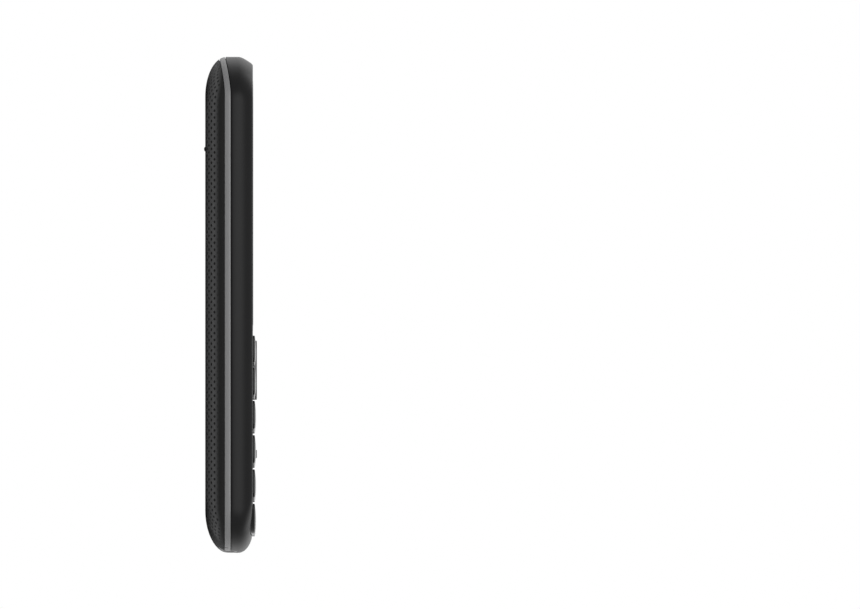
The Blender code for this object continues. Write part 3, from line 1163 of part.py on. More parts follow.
def build_jack():
    back = JACK_FRONT_Y + JACK_BODY_LENGTH
    body = box("audio_jack", (JACK_X - JACK_BODY_WIDTH / 2, JACK_FRONT_Y, JACK_Z - JACK_BODY_HEIGHT / 2),
               (JACK_X + JACK_BODY_WIDTH / 2, back, JACK_Z + JACK_BODY_HEIGHT / 2), CONNECTOR_BLACK)
    cut(body, rod("jack_bore", JACK_BORE, (JACK_X, JACK_FRONT_Y - OVERRUN, JACK_Z),
                  (JACK_X, back - OVERRUN, JACK_Z), steps=ROUND_STEPS, cutter=True))
    outer = JACK_X - JACK_BORE / 2 + JACK_BORE / 6
    start = JACK_FRONT_Y + FIT_GAP
    box("jack_contact", (outer, start, JACK_Z - JACK_CONTACT_WIDTH / 2),
        (outer + JACK_CONTACT_THICKNESS, start + JACK_CONTACT_LENGTH, JACK_Z + JACK_CONTACT_WIDTH / 2), GOLD)


def build_microphone():
    on_board("microphone", MIC_X, MIC_Y + MIC_LENGTH / 2, MIC_WIDTH, MIC_LENGTH, MIC_THICKNESS, STEEL)
    front = MIC_Y - SEAM_GAP
    boot = box("mic_boot", (MIC_X - BOOT_HALF_WIDTH, front - BOOT_LENGTH, MIC_Z - BOOT_HALF_WIDTH),
               (MIC_X + BOOT_HALF_WIDTH, front, MIC_Z + BOOT_HALF_WIDTH), SILICONE)
    cut(boot, rod("boot_channel", BOOT_CHANNEL, (MIC_X, front - BOOT_LENGTH - OVERRUN, MIC_Z),
                  (MIC_X, front + OVERRUN, MIC_Z), steps=8, cutter=True))


def build_torch():
    front = HALF_LENGTH - TORCH_LENS_SETBACK
    width = TORCH_BORE - 2 * SEAM_GAP
    back = PCB_TOP_Y + FIT_GAP
    levels = ((back, width), (front - TORCH_LENS_CROWN, width), (front, width / 2))
    rings = []
    for y, across in levels:
        turns = [2 * math.pi * i / ROUND_STEPS for i in range(ROUND_STEPS)]
        rings.append([(TORCH_X + across / 2 * math.cos(t), y, TORCH_Z + across / 2 * math.sin(t))
                      for t in turns])
    loft("torch_lens", rings, LAMP_CLEAR)
    box("torch_led", (TORCH_X - LED_WIDTH / 2, PCB_TOP_Y - LED_LENGTH, TORCH_Z - LED_HEIGHT / 2),
        (TORCH_X + LED_WIDTH / 2, PCB_TOP_Y, PCB_BACK_Z - SEAM_GAP), LAMP_YELLOW)


whole_body = envelope()
build_band(whole_body)
build_front_housing()
build_lens()
build_keys()
build_navigation()
build_dome_sheet()
build_boards()
build_frame()
build_cover()
build_screws()
build_power()
build_board_parts()
build_motor()
build_usb()
build_jack()
build_microphone()
build_torch()
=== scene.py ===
# %% [markdown]
# # A candy-bar mobile phone
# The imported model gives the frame: where every piece lies and how it moves. This lesson dresses it
# with finer surfaces and finishes. Lengths are written in millimetres from the flat of the back
# cover, and one function turns them into metres in the world.

import json
import math

import bmesh
import bpy
import numpy as np
from mathutils import Matrix, Vector

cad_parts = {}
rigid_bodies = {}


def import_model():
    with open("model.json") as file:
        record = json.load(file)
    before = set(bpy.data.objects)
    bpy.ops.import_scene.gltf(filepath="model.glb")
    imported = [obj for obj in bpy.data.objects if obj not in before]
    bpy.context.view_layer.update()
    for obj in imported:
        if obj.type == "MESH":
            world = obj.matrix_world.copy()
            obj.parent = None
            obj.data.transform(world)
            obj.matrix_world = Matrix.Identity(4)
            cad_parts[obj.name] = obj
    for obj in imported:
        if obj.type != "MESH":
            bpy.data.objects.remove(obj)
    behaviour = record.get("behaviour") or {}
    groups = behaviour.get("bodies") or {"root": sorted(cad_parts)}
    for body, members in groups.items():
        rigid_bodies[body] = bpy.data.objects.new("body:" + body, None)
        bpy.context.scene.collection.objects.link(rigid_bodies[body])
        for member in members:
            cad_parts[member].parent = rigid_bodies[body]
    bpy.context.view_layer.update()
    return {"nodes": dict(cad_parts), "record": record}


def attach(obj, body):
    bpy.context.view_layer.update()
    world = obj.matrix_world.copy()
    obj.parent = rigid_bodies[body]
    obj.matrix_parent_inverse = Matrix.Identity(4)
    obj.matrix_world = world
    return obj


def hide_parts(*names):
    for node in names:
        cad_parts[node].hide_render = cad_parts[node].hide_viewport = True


for item in list(bpy.data.objects):
    bpy.data.objects.remove(item, do_unlink=True)

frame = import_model()

MM = 0.001
NUB_HEIGHT = 0.31

# %% [markdown]
# ## Meshes from grids
# Most outer pieces are sheets that bend two ways, so each is worked out as a grid of points with
# numpy and then turned into quads. Modelling by hand in Edit Mode would work too, but a formula can
# be made finer or coarser with one number.

# %% Helpers for surfaces
SMOOTH_ANGLE = math.radians(32)
SAME_PLACE = 1e-7
QUARTER_TURN = math.pi / 2


def arc(steps, start=0.0, stop=QUARTER_TURN):
    """The cosine and sine of evenly spaced angles."""
    turn = np.linspace(start, stop, steps)
    return list(zip(np.cos(turn), np.sin(turn)))


def add_object(name, data):
    made = bpy.data.objects.new(name, data)
    bpy.context.scene.collection.objects.link(made)
    return made


def smooth(piece):
    piece.data.shade_smooth()
    piece.data.set_sharp_from_angle(angle=SMOOTH_ANGLE)


def new_piece(name, points, faces):
    """An object at the origin from points in millimetres above the back plane, with its faces
    turned outwards. The mesh is in metres above the floor."""
    mesh = bpy.data.meshes.new(name)
    mesh.from_pydata(((np.asarray(points, float) + (0, 0, NUB_HEIGHT)) * MM).tolist(), [], faces)
    grid = bmesh.new()
    grid.from_mesh(mesh)
    bmesh.ops.remove_doubles(grid, verts=grid.verts, dist=SAME_PLACE)
    bmesh.ops.recalc_face_normals(grid, faces=grid.faces)
    grid.to_mesh(mesh)
    grid.free()
    piece = add_object(name, mesh)
    smooth(piece)
    return piece


def grid_faces(rows, columns, wrap=True, loop=False):
    """Quads of a grid. wrap joins its last column to its first, and loop its last row."""
    index = np.arange(rows * columns).reshape(rows, columns)
    if wrap:
        index = np.concatenate([index, index[:, :1]], axis=1)
    if loop:
        index = np.concatenate([index, index[:1]], axis=0)
    corners = (index[:-1, :-1], index[:-1, 1:], index[1:, 1:], index[1:, :-1])
    return np.stack(corners, axis=-1).reshape(-1, 4).tolist()


def sheet(name, rings, loop=False):
    """A piece from rings of points. Its last ring joins its first, or else both are filled."""
    grid = np.stack(rings)
    rows, columns = grid.shape[:2]
    faces = grid_faces(rows, columns, loop=loop)
    if not loop:
        faces += [list(range(columns))[::-1], list(range((rows - 1) * columns, rows * columns))]
    return new_piece(name, grid.reshape(-1, 3), faces)


def carve(piece, other):
    """Cuts other from piece and removes other."""
    change = piece.modifiers.new("cut", "BOOLEAN")
    change.operation, change.solver, change.object = "DIFFERENCE", "EXACT", other
    graph = bpy.context.evaluated_depsgraph_get()
    made = bpy.data.meshes.new_from_object(piece.evaluated_get(graph))
    piece.modifiers.clear()
    piece.data = made
    bpy.data.objects.remove(other)
    smooth(piece)


# %% [markdown]
# ## The body's shape
# Seen from the end, each flank is a quarter ellipse that rolls in towards the back and a shallower
# one towards the front. Seen from the front, each end is a superellipse, a curve between an ellipse
# and a rectangle. The same formulas shape the housing, the trim band and the cover, so their seams
# meet without any fitting.

# %% Body formulas
HALF_WIDTH = 28.0
HALF_LENGTH = 67.65
SOCKET_TIP = -67.615
FRONT_Z = 13.0
END_DEPTH = 12.65
END_POWER = 2.6
# Each curve: the height where it starts, its rise, and how far it comes in over that rise.
BACK_FLANK, FRONT_FLANK = (7, 7, 8.3), (7, 7.5, 6.3)
BACK_TORCH, BACK_SOCKETS, FRONT_SOCKETS = (5.8, 5.8, 10.8), (6.35, 6.35, 11.6), (9, 4, 6.4)
TORCH_LEAN_Z, TORCH_LEAN = 9.3, 2.1


def quarter(share):
    """How far a quarter ellipse has come in after this share of its rise: 1 - sqrt(1 - share^2)."""
    share = np.clip(share, 0, 1)
    return 1 - np.sqrt(1 - share * share)


def inset(z, curve, wall, towards=1):
    """How far a side has come in at height z: the front climbs (towards 1), the back sinks (-1)."""
    start, rise, run = curve
    return wall + (run - wall) * quarter(towards * (z - start) / (rise - wall))


def half_width(z, wall=0.0):
    return HALF_WIDTH - np.maximum(inset(z, BACK_FLANK, wall, -1), inset(z, FRONT_FLANK, wall))


def torch_end(z, wall=0.0):
    lean = wall * math.sqrt(0.5)
    share = np.clip((z + lean - TORCH_LEAN_Z) / (FRONT_Z - TORCH_LEAN_Z), 0, 1)
    front = TORCH_LEAN * share ** 1.35 + lean
    return HALF_LENGTH - np.maximum(np.maximum(inset(z, BACK_TORCH, wall, -1), front), wall)


def socket_end(z, wall=0.0):
    return SOCKET_TIP + np.maximum(inset(z, BACK_SOCKETS, wall, -1), inset(z, FRONT_SOCKETS, wall))


def end_face(x, z, end):
    """Y of the body's end (+1 torch, -1 sockets) at a place on it."""
    wide = half_width(z)
    along = np.clip(1 - np.abs(x / wide) ** END_POWER, 0, 1) ** (1 / END_POWER)
    drop = END_DEPTH * wide / HALF_WIDTH * (1 - along)
    return torch_end(z) - drop if end > 0 else socket_end(z) + drop


# %% [markdown]
# ## Stations round the outline
# A station is one place on the way round the phone. Each has a share of the half width, a share of
# the end's depth, and a number that says how far it is from the torch end to the socket end.
# Stations lie every fifth of a millimetre across the ends, where the ports' collars need them.

# %% Stations
EVEN_SHARE = 0.76


def end_shares():
    """Shares across and along one end, from the right side over the end to the left side."""
    corner = np.linspace(0, 1, 27)[:-1] ** 1.15 * math.acos(EVEN_SHARE ** (END_POWER / 2))
    corner_across = np.cos(corner) ** (2 / END_POWER)
    middle = np.linspace(EVEN_SHARE, -EVEN_SHARE, 215)
    across = np.concatenate([corner_across, middle, -corner_across[::-1]])
    along = (1 - np.abs(across) ** END_POWER).clip(0, 1) ** (1 / END_POWER)
    along[[0, -1]] = 0
    return across, along


ACROSS, ALONG = end_shares()
SIDE = np.linspace(0, 1, 42)[1:-1]
STATION_X = np.concatenate([ACROSS, -np.ones_like(SIDE), -ACROSS, np.ones_like(SIDE)])
STATION_Y = np.concatenate([ALONG, 0 * SIDE, ALONG, 0 * SIDE])
STATION_END = np.concatenate([0 * ACROSS, SIDE, np.ones_like(ACROSS), 1 - SIDE])
STATION_COUNT = len(STATION_X)
MIDDLE_Z = 6.1
print("stations round the phone:", STATION_COUNT)


def outline(z, wall=0.0):
    """Points round the body at heights z, whose last axis runs over the stations."""
    z = np.broadcast_to(np.asarray(z, float), np.broadcast_shapes(np.shape(z), (STATION_COUNT,)))
    wide = half_width(z, wall)
    drop = END_DEPTH * wide / HALF_WIDTH * (1 - STATION_Y)
    top, bottom = torch_end(z, wall) - drop, socket_end(z, wall) + drop
    y = top + (bottom - top) * STATION_END
    return np.stack([wide * STATION_X, y, z], axis=-1)


def outward(rings):
    """Level unit vectors out of the body, square to each ring of points."""
    along = np.roll(rings, -1, axis=-2) - np.roll(rings, 1, axis=-2)
    sideways = np.stack([along[..., 1], -along[..., 0], 0 * along[..., 0]], axis=-1)
    sideways /= np.linalg.norm(sideways, axis=-1, keepdims=True)
    outside = np.sum(sideways[..., :2] * rings[..., :2], axis=-1, keepdims=True).mean() > 0
    return sideways if outside else -sideways


OUT = outward(outline(MIDDLE_Z))


# %% [markdown]
# ## The trim band's edges
# A thin metal band runs round the phone between its two shells. It dips towards the back at the
# torch end, widens into a collar round each port, and has a fingernail slot near one corner. Its
# edges are heights that depend on the station, so a collar is simply a circle that pushes them out.

# %% Band edges
TORCH, JACK, CHARGER, MICROPHONE = (14.4, 5.4), (-9.43, 6.22), (0.9, 6.9), (-16.5, 5.8)
# Each place: its X and Z, half its straight part, its radius, and its end (0 torch, 1 sockets).
COLLARS = [(*TORCH, 0, 3.45, 0), (*JACK, 0, 2.6, 1), (*CHARGER, 2.88, 2.2, 1)]
HOLES = COLLARS + [(*MICROPHONE, 0, 0.47, 1)]
SEAM = 0.15
BAND_Z, BAND_DIP, DIP_REACH = (5.3, 6.93), (1.33, 1.53), 9.5
SLOT_Y, SLOT_DEPTH, SLOT_EASE = (-62.3, -53.7), 0.59, 0.9


def ease(share):
    """A share that starts and stops gently: 3s^2 - 2s^3."""
    share = np.clip(share, 0, 1)
    return share * share * (3 - 2 * share)


def near(places, reach):
    """A share at each station: 1 over the places, easing to 0 at a distance of reach beside them."""
    x = outline(MIDDLE_Z)[:, 0]
    share = np.zeros(STATION_COUNT)
    for place_x, _, straight, radius, end in places:
        aside = np.abs(x - place_x) - straight - radius
        share = np.maximum(share, ease(reach - aside) * (STATION_END == end))
    return share


def band_edges(grow=0.0, slot=False):
    """Heights of the band's back and front edge at each station, moved apart by grow."""
    x, y, _ = outline(MIDDLE_Z).T
    dip = np.clip(1 - (HALF_LENGTH - y) / DIP_REACH, 0, 1) ** 1.4
    edges = [BAND_Z[0] - BAND_DIP[0] * dip - grow, BAND_Z[1] - BAND_DIP[1] * dip + grow]
    if slot:
        span = ease((SLOT_Y[1] - y) / SLOT_EASE) * ease((y - SLOT_Y[0]) / SLOT_EASE) * (x > 0)
        edges[0] = edges[0] + SLOT_DEPTH * span
    for place_x, place_z, straight, radius, end in COLLARS:
        radius += grow
        for number, sign, outermost in ((0, -1, np.minimum), (1, 1, np.maximum)) * 3:
            aside = np.maximum(np.abs(outline(edges[number])[:, 0] - place_x) - straight, 0)
            circle = place_z + sign * np.sqrt(np.maximum(radius ** 2 - aside ** 2, 0))
            inside = (aside < radius) & (STATION_END == end)
            edges[number] = np.where(inside, outermost(edges[number], circle), edges[number])
    return edges


BAND_BACK, BAND_FRONT = band_edges(slot=True)
COVER_RIM, HOUSING_RIM = band_edges(SEAM)
print("band from z", round(float(BAND_BACK.min()), 2), "to", round(float(BAND_FRONT.max()), 2), "mm")

# %% [markdown]
# ## Trim band
# The band is one closed ribbon. Its section is a flat face with a small round on each edge, carried
# round all the stations. Inside a collar it is deeper, because the socket sits behind it.

# %% Build the trim band
BAND_WALL = 1.2
COLLAR_WALL = 4.0
EDGE_ROUND = 0.14


def rounded_edge(edge, sign, steps):
    """Rings of a round from an edge to the face: moved by r(1 - cos a) and in by r(1 - sin a)."""
    return [outline(edge + sign * EDGE_ROUND * (1 - c)) - OUT * EDGE_ROUND * (1 - s)
            for c, s in arc(steps)]


start, end = BAND_BACK + EDGE_ROUND, BAND_FRONT - EDGE_ROUND
wall = BAND_WALL + (COLLAR_WALL - BAND_WALL) * near(COLLARS, 0.6)
rings = rounded_edge(BAND_BACK, 1, 5)
rings += [outline(start + (end - start) * share) for share in np.linspace(0, 1, 11)[1:-1]]
rings += rounded_edge(BAND_FRONT, -1, 5)[::-1]
rings += [outline(edge) - OUT * wall[:, None] for edge in (BAND_FRONT, BAND_BACK)]
trim_band = sheet("trim_ribbon", rings, loop=True)
print("trim band:", len(trim_band.data.polygons), "faces")

# %% [markdown]
# ## Port holes
# Each port is a straight hole with a small flare where it meets the face. The cutter's rings follow
# the curved end of the phone, so the flare is even all the way round.

# %% Cut the ports through the band
PORT_DEPTH = 6.0


def port_ring(x, z, straight, radius, steps=72):
    """A circle, or a flat oval when straight is not zero, as x and z values."""
    turn = np.linspace(0, 2 * math.pi, steps, endpoint=False)
    side = np.sign(np.cos(turn)) * (np.abs(np.cos(turn)) > 1e-9)
    return x + side * straight + radius * np.cos(turn), z + radius * np.sin(turn)


def port_cutter(name, x, z, straight, radius, end, flare):
    """A hole's cutter: a flat outer ring, rings that follow the end face, and a flat inner ring."""
    rings = []
    for grow, sink in ((flare + 1, None), (flare, 0.0), (flare * 0.3, flare * 0.3), (0.0, flare),
                       (0.0, None)):
        ring_x, ring_z = port_ring(x, z, straight, radius + grow)
        flat = HALF_LENGTH + 1.5 if grow else HALF_LENGTH - PORT_DEPTH
        y = end * flat if sink is None else end_face(ring_x, ring_z, end) - end * sink
        rings.append(np.stack([ring_x, y + 0 * ring_x, ring_z], axis=-1))
    return sheet(name, rings)


for port in (("jack_hole", *JACK, 0, 1.85, -1, 0.18),
             ("charging_hole", *CHARGER, 2.89, 1.68, -1, 0.14),
             ("torch_hole", *TORCH, 0, 2.5, 1, 0.22),
             ("microphone_hole", *MICROPHONE, 0, 0.47, -1, 0.06)):
    carve(trim_band, port_cutter(*port))
print("trim band with its ports:", len(trim_band.data.polygons), "faces")

# %% [markdown]
# ## Front housing
# The housing is a moulded shell. Its outer rings climb from the seam to the flat front, with a small
# round where the flank meets the front, and its inner rings lie one wall inside them. It could also
# be a surface with a Solidify modifier, but the flank's wall and the front's wall differ.

# %% Build the front housing
FRONT_ROUND = 0.45
FLANK_TOP_Z = FRONT_Z - 0.3
CEILING_Z = 11.4
SIDE_WALL = 1.45
LIP_DEPTH = 1.25


def rim_rings(rim, sign):
    """The seam's edge: a lip that closes the seam from behind, the rim, and a small round to the
    flank. sign is +1 for the housing and -1 for the cover."""
    lip = outline(rim - sign * (0.05 + 0.75 * (1 - near(HOLES, 1.6))))
    rings = [lip - OUT * SIDE_WALL, lip - OUT * LIP_DEPTH, outline(rim) - OUT * LIP_DEPTH]
    return rings + rounded_edge(rim, sign, 4)


def front_corner():
    """A quadratic curve from the flank to the flat front: (1-t)^2 A + 2t(1-t) B + t^2 C."""
    corner = outline(FRONT_Z)
    start = outline(FLANK_TOP_Z)
    flat = corner - outward(corner) * FRONT_ROUND
    return [(1 - t) ** 2 * start + 2 * t * (1 - t) * corner + t * t * flat
            for t in np.linspace(0, 1, 6)]


low = HOUSING_RIM + EDGE_ROUND
climb = 1 - (1 - np.linspace(0, 1, 16)[1:-1]) ** 1.25
outer = rim_rings(HOUSING_RIM, 1)
outer += [outline(low + (FLANK_TOP_Z - low) * share) for share in climb] + front_corner()
inner = [outline(HOUSING_RIM + (CEILING_Z - HOUSING_RIM) * share, SIDE_WALL)
         for share in (1, 0.9, 0.7, 0.4, 0.1)]
housing = sheet("housing_shell", inner + outer)
print("front housing:", len(housing.data.polygons), "faces")

# %% [markdown]
# ## Key outlines
# The keys sit in three columns. The rows sag towards the middle, so the same parabola bends
# every key, every opening and the lower edge of the window.

# %% Outlines of keys and window
FIELD_HALF_WIDTH = 23.8
KEY_GAP = 0.3
SAG = 1.5
FIRST_ROW_Y, ROW_PITCH, ROW_DEPTH = -26.0, 9.35, 7.6
CORNER_KEY_RADIUS = 6.0
WINDOW_TOP, WINDOW_BOTTOM = 61.3, -5.5


def sag(x):
    """The rows' parabola, for a key field of half width w: -sag (1 - (x / w)^2)."""
    return -SAG * (1 - (x / FIELD_HALF_WIDTH) ** 2)


def rounded_box(x0, x1, y0, y1, radii, corner_steps=8, edge_steps=14):
    """A rectangle with a radius for each corner, anticlockwise from its lower right, with points
    along its edges so that they can bend."""
    arcs = []
    places = [(x1, y0, 1, -1), (x1, y1, 1, 1), (x0, y1, -1, 1), (x0, y0, -1, -1)]
    for number, ((x, y, right, top), radius) in enumerate(zip(places, radii)):
        turn = QUARTER_TURN * (number - 1 + np.linspace(0, 1, corner_steps + 1))
        arcs.append(np.stack([x - right * radius + radius * np.cos(turn),
                              y - top * radius + radius * np.sin(turn)], axis=1))
    points = []
    for number, arc in enumerate(arcs):
        between = edge_steps if number % 2 else 6
        points += [arc, np.linspace(arc[-1], arcs[(number + 1) % 4][0], between + 2)[1:-1]]
    return np.concatenate(points)


def key_outline(key, grow=0.0):
    """A key's outline, grown by grow and bent by the rows' parabola."""
    x0, x1, y0, y1 = key["x0"] - grow, key["x1"] + grow, key["y0"] - grow, key["y1"] + grow
    points = rounded_box(x0, x1, y0, y1, [max(radius + grow, 0.3) for radius in key["radii"]])
    if key["bends"]:
        points[:, 1] += sag(points[:, 0])
    return points


def key_at(column, top, bottom, last_row=False):
    x0, x1 = ((-FIELD_HALF_WIDTH, -8.6), (-8.05, 8.05), (8.6, FIELD_HALF_WIDTH))[column + 1]
    radii = [1.2] * 4
    if last_row and column:
        radii[0 if column > 0 else 3] = CORNER_KEY_RADIUS
    return {"x0": x0, "x1": x1, "y0": bottom, "y1": top, "radii": radii, "bends": True}


KEYS = {"softkey_left": key_at(-1, -8.2, -15.5), "softkey_right": key_at(1, -8.2, -15.5),
        "call_key": key_at(-1, -16.9, -24.4), "end_key": key_at(1, -16.9, -24.4)}
DIGIT_ROWS = (("key_1", "key_2", "key_3"), ("key_4", "key_5", "key_6"),
              ("key_7", "key_8", "key_9"), ("key_star", "key_0", "key_hash"))
for row, names in enumerate(DIGIT_ROWS):
    top = FIRST_ROW_Y - ROW_PITCH * row
    for column, name in zip((-1, 0, 1), names):
        KEYS[name] = key_at(column, top, top - ROW_DEPTH, row == 3)
RING = {"x0": -8.05, "x1": 8.05, "y0": -25.9, "y1": -9.7, "radii": [2.6] * 4, "bends": False}
MIDDLE_KEY = {"x0": -4.1, "x1": 4.1, "y0": -21.9, "y1": -13.7, "radii": [1.8] * 4, "bends": False}


def window_outline(grow=0.0):
    """Straight sides, a superellipse at the top and the rows' parabola along the bottom."""
    wide, deep, corner = FIELD_HALF_WIDTH + grow, 9.0 + grow, 1.2 + grow
    turn = np.linspace(0, math.pi, 81)
    across = np.sign(np.cos(turn)) * np.abs(np.cos(turn)) ** (2 / END_POWER)
    along = np.abs(np.sin(turn)) ** (2 / END_POWER)
    top = np.stack([wide * across, WINDOW_TOP + grow - deep * (1 - along)], axis=1)
    low = rounded_box(-wide, wide, WINDOW_BOTTOM - grow, 10, [corner] * 4, 8, 40)
    low = low[low[:, 1] < WINDOW_BOTTOM - grow + corner + 1e-6]
    low = low[np.argsort(low[:, 0], kind="stable")]
    low[:, 1] += sag(low[:, 0])
    return np.concatenate([top, low])


print("keys:", len(KEYS) + 2, "with the direction ring and its middle key")

# %% [markdown]
# ## Openings in the front
# The keys and the window sit in cut-outs with a fine chamfer, which catches the light as a thin line
# round each opening. A row of digit keys shares one opening.

# %% Cut the openings
CHAMFER = 0.12
OVERLAP = 0.02
KEY_FLOOR_Z, WINDOW_FLOOR_Z = 10.3, 12.0


def level_rings(rings):
    """Rings of points from a list of (points across X and Y, z)."""
    return [np.column_stack([ring, np.full(len(ring), float(z))]) for ring, z in rings]


def stacked(name, points, heights):
    """A solid from one outline function of grow and a list of (z, grow)."""
    return sheet(name, level_rings([(points(grow), z) for z, grow in heights]))


def open_front(points, floor):
    """Cuts an outline through the housing's front, down to the floor, with its chamfer."""
    wide = CHAMFER + OVERLAP
    heights = ((floor, 0), (FRONT_Z - CHAMFER, 0), (FRONT_Z + OVERLAP, wide), (FRONT_Z + 2, wide))
    carve(housing, stacked("front_cutter", points, heights))


def open_for_keys(left, right):
    """The opening for one key, or for a row that shares one."""
    shared = {**left, "x1": right["x1"], "radii": right["radii"][:2] + left["radii"][2:]}
    open_front(lambda grow: key_outline(shared, KEY_GAP + grow), KEY_FLOOR_Z)


for name in ("softkey_left", "softkey_right", "call_key", "end_key"):
    open_for_keys(KEYS[name], KEYS[name])
open_for_keys(RING, RING)
for names in DIGIT_ROWS:
    open_for_keys(KEYS[names[0]], KEYS[names[-1]])
open_front(lambda grow: window_outline(SEAM + grow), WINDOW_FLOOR_Z)
print("front housing with its openings:", len(housing.data.polygons), "faces")

# %% [markdown]
# ## Back cover
# The cover is one shell with a dimpled outside. Each vertex of its outside also gets a flat place,
# as if the curved flank were unrolled outwards from the flat back, and the dimples follow that.
# A displaced mesh could carry real dimples, but its faces would have to be far finer than they are.

# %% Build the back cover
COVER_WALL = 1.2
outer = rim_rings(COVER_RIM, -1)
low = COVER_RIM - EDGE_ROUND
outer += [outline(low * (1 - s)) for c, s in arc(22)[1:]]
inner = [outline(COVER_WALL + (COVER_RIM - COVER_WALL) * share, SIDE_WALL)
         for share in (0, 0.08, 0.3, 0.65, 0.92)]
cover = sheet("cover_shell", inner + outer)


def unrolled(points):
    """X and Y of each point once the flank is laid flat: each point moves outwards by what its
    distance along the section is longer than its reach from the flat back."""
    flat = outer[-1]
    sections = np.stack(outer[::-1])
    out = outward(flat)[None, :, :2]
    reach = ((sections - flat)[..., :2] * out).sum(axis=-1)
    steps = np.hypot(np.diff(reach, axis=0), np.diff(sections[..., 2], axis=0))
    travel = np.concatenate([np.zeros((1, STATION_COUNT)), np.cumsum(steps, axis=0)])
    laid = sections[..., :2] + out * (travel - reach)[..., None]
    keys = np.round(sections.reshape(-1, 3), 3)
    table = {tuple(key): tuple(place) for key, place in zip(keys, laid.reshape(-1, 2))}
    return [table.get(tuple(point), (point[0], point[1])) for point in np.round(points, 3)]


found = np.empty(len(cover.data.vertices) * 3)
cover.data.vertices.foreach_get("co", found)
laid_flat = unrolled(found.reshape(-1, 3) / MM - (0, 0, NUB_HEIGHT))
corners = np.empty(len(cover.data.loops), np.int32)
cover.data.loops.foreach_get("vertex_index", corners)
layer = cover.data.uv_layers.new(name="laid_flat")
layer.data.foreach_set("uv", np.asarray(laid_flat, np.float32)[corners].ravel())
print("back cover:", len(cover.data.polygons), "faces")

# %% [markdown]
# ## Loudspeaker slots and nub
# Six slots let the sound out, and a small nub between the middle two keeps them off the table. The
# nub is a turned profile, and it is the lowest point of the phone.

# %% Cut the slots and add the nub
SPEAKER_Y = 42.5


def bar(x, y, half_width_x, half_width_y, radius, corner_steps=6):
    """An outline function of a rounded bar about a centre, for stacked()."""
    return lambda grow: rounded_box(
        x - half_width_x - grow, x + half_width_x + grow, y - half_width_y - grow,
        y + half_width_y + grow, [radius + grow] * 4, corner_steps, 2)


for place in (-8.1, -5.4, -2.7, 2.7, 5.4, 8.1):
    carve(cover, stacked("grille_slot", bar(place, SPEAKER_Y, 0.5, 4, 0.4),
                             ((-1, 0.16), (-0.01, 0.16), (0.15, 0), (2, 0))))


def turned(name, centre, profile, axis="z", steps=48):
    """A turned piece: each (radius, travel) of the profile goes round the axis through centre."""
    turn = np.linspace(0, 2 * math.pi, steps, endpoint=False)
    radius, travel = np.array(profile, float).T
    across, up = radius[:, None] * np.cos(turn), radius[:, None] * np.sin(turn)
    ahead = np.broadcast_to(travel[:, None], across.shape)
    order = (across, up, ahead) if axis == "z" else (across, ahead, up)
    grid = np.stack(order, axis=-1) + np.asarray(centre, float)
    return sheet(name, grid)


dome = [(0.62 * c, -NUB_HEIGHT * s) for c, s in arc(9, 0, 1.5)]
dome[-1] = (0.05, -NUB_HEIGHT)
nub = turned("cover_nub", (0, SPEAKER_Y, 0), [(0.62, 0.3)] + dome)
print("cover with its slots:", len(cover.data.polygons), "faces")

# %% [markdown]
# ## Window
# One sheet of hard plastic covers the display and the earpiece. Its edge is rounded over 0.3 mm, and
# its surface stands 0.1 mm proud of the housing, so the edge shows as a thin bright line.

# %% Build the window
heights = [(12.2, 0), (12.8, 0)]
heights += [(12.8 + 0.3 * s, -0.3 * (1 - c))
            for c, s in arc(6, 0.3, QUARTER_TURN)]
window = stacked("front_window", window_outline, heights)
carve(window, stacked("ear_slot", bar(0, 57.7, 5, 0.65, 0.5),
                          ((11, 0), (13.0, 0), (13.12, 0.12), (14, 0.12))))
print("window:", len(window.data.polygons), "faces")

# %% [markdown]
# ## Keys
# Each key is a low pillow: straight sides, a round shoulder, and a crown that rises gently to a
# ridge along its middle. The crown's rings are blends between the key's outline and that ridge.

# %% Build the keys
SHOULDER_Z = 13.57
CREST_Z = 13.84
SHOULDER_INSET = 0.35
RIDGE_INSET = 3.7
KEY_BASE_Z, KEY_SIDE_Z = 10.6, 13.36
DOT_RADIUS, DOT_RISE = 1.15, 0.26


def middle_of(key):
    x = (key["x0"] + key["x1"]) / 2
    return x, (key["y0"] + key["y1"]) / 2 + sag(x)


def ridge(key, points):
    """The nearest place on the key's middle line to each point of its outline."""
    inset = min(RIDGE_INSET, (key["x1"] - key["x0"]) / 2 - 0.05)
    x = np.clip(points[:, 0], key["x0"] + inset, key["x1"] - inset)
    y = np.full_like(x, (key["y0"] + key["y1"]) / 2) + (sag(x) if key["bends"] else 0)
    return np.stack([x, y], axis=1)


def crown_height(share, crest=CREST_Z):
    """The pillow's rise from its shoulder to its crest: low + (high - low)(1 - (1 - s)^2)."""
    return SHOULDER_Z + (crest - SHOULDER_Z) * (1 - (1 - share) ** 2)


def key_cap(name, key, crest=CREST_Z):
    rings = [(key_outline(key), z) for z in (KEY_BASE_Z, KEY_SIDE_Z - 0.4, KEY_SIDE_Z)]
    for c, s in arc(6)[1:]:
        rings.append((key_outline(key, -SHOULDER_INSET * (1 - c)),
                      KEY_SIDE_Z + (SHOULDER_Z - KEY_SIDE_Z) * s))
    edge = rings[-1][0]
    middle = ridge(key, edge)
    for share in (0.06, 0.14, 0.25, 0.38, 0.52, 0.66, 0.8, 0.9):
        rings.append((edge + (middle - edge) * share, crown_height(share, crest)))
    return sheet(name, level_rings(rings))


caps = {name: key_cap(name + "_cap", key) for name, key in KEYS.items()}
caps["ok_key"] = key_cap("middle_key_cap", MIDDLE_KEY, crest=13.8)
dot = [(DOT_RADIUS, 13.6), (DOT_RADIUS, CREST_Z)]
dot += [(DOT_RADIUS - DOT_RISE * (1 - c), CREST_Z + DOT_RISE * s)
        for c, s in arc(7, 0.2, QUARTER_TURN)]
nub_five = turned("five_key_mark", (*middle_of(KEYS["key_5"]), 0), dot)
print("key caps:", len(caps), "each of", len(caps["key_1"].data.polygons), "faces")

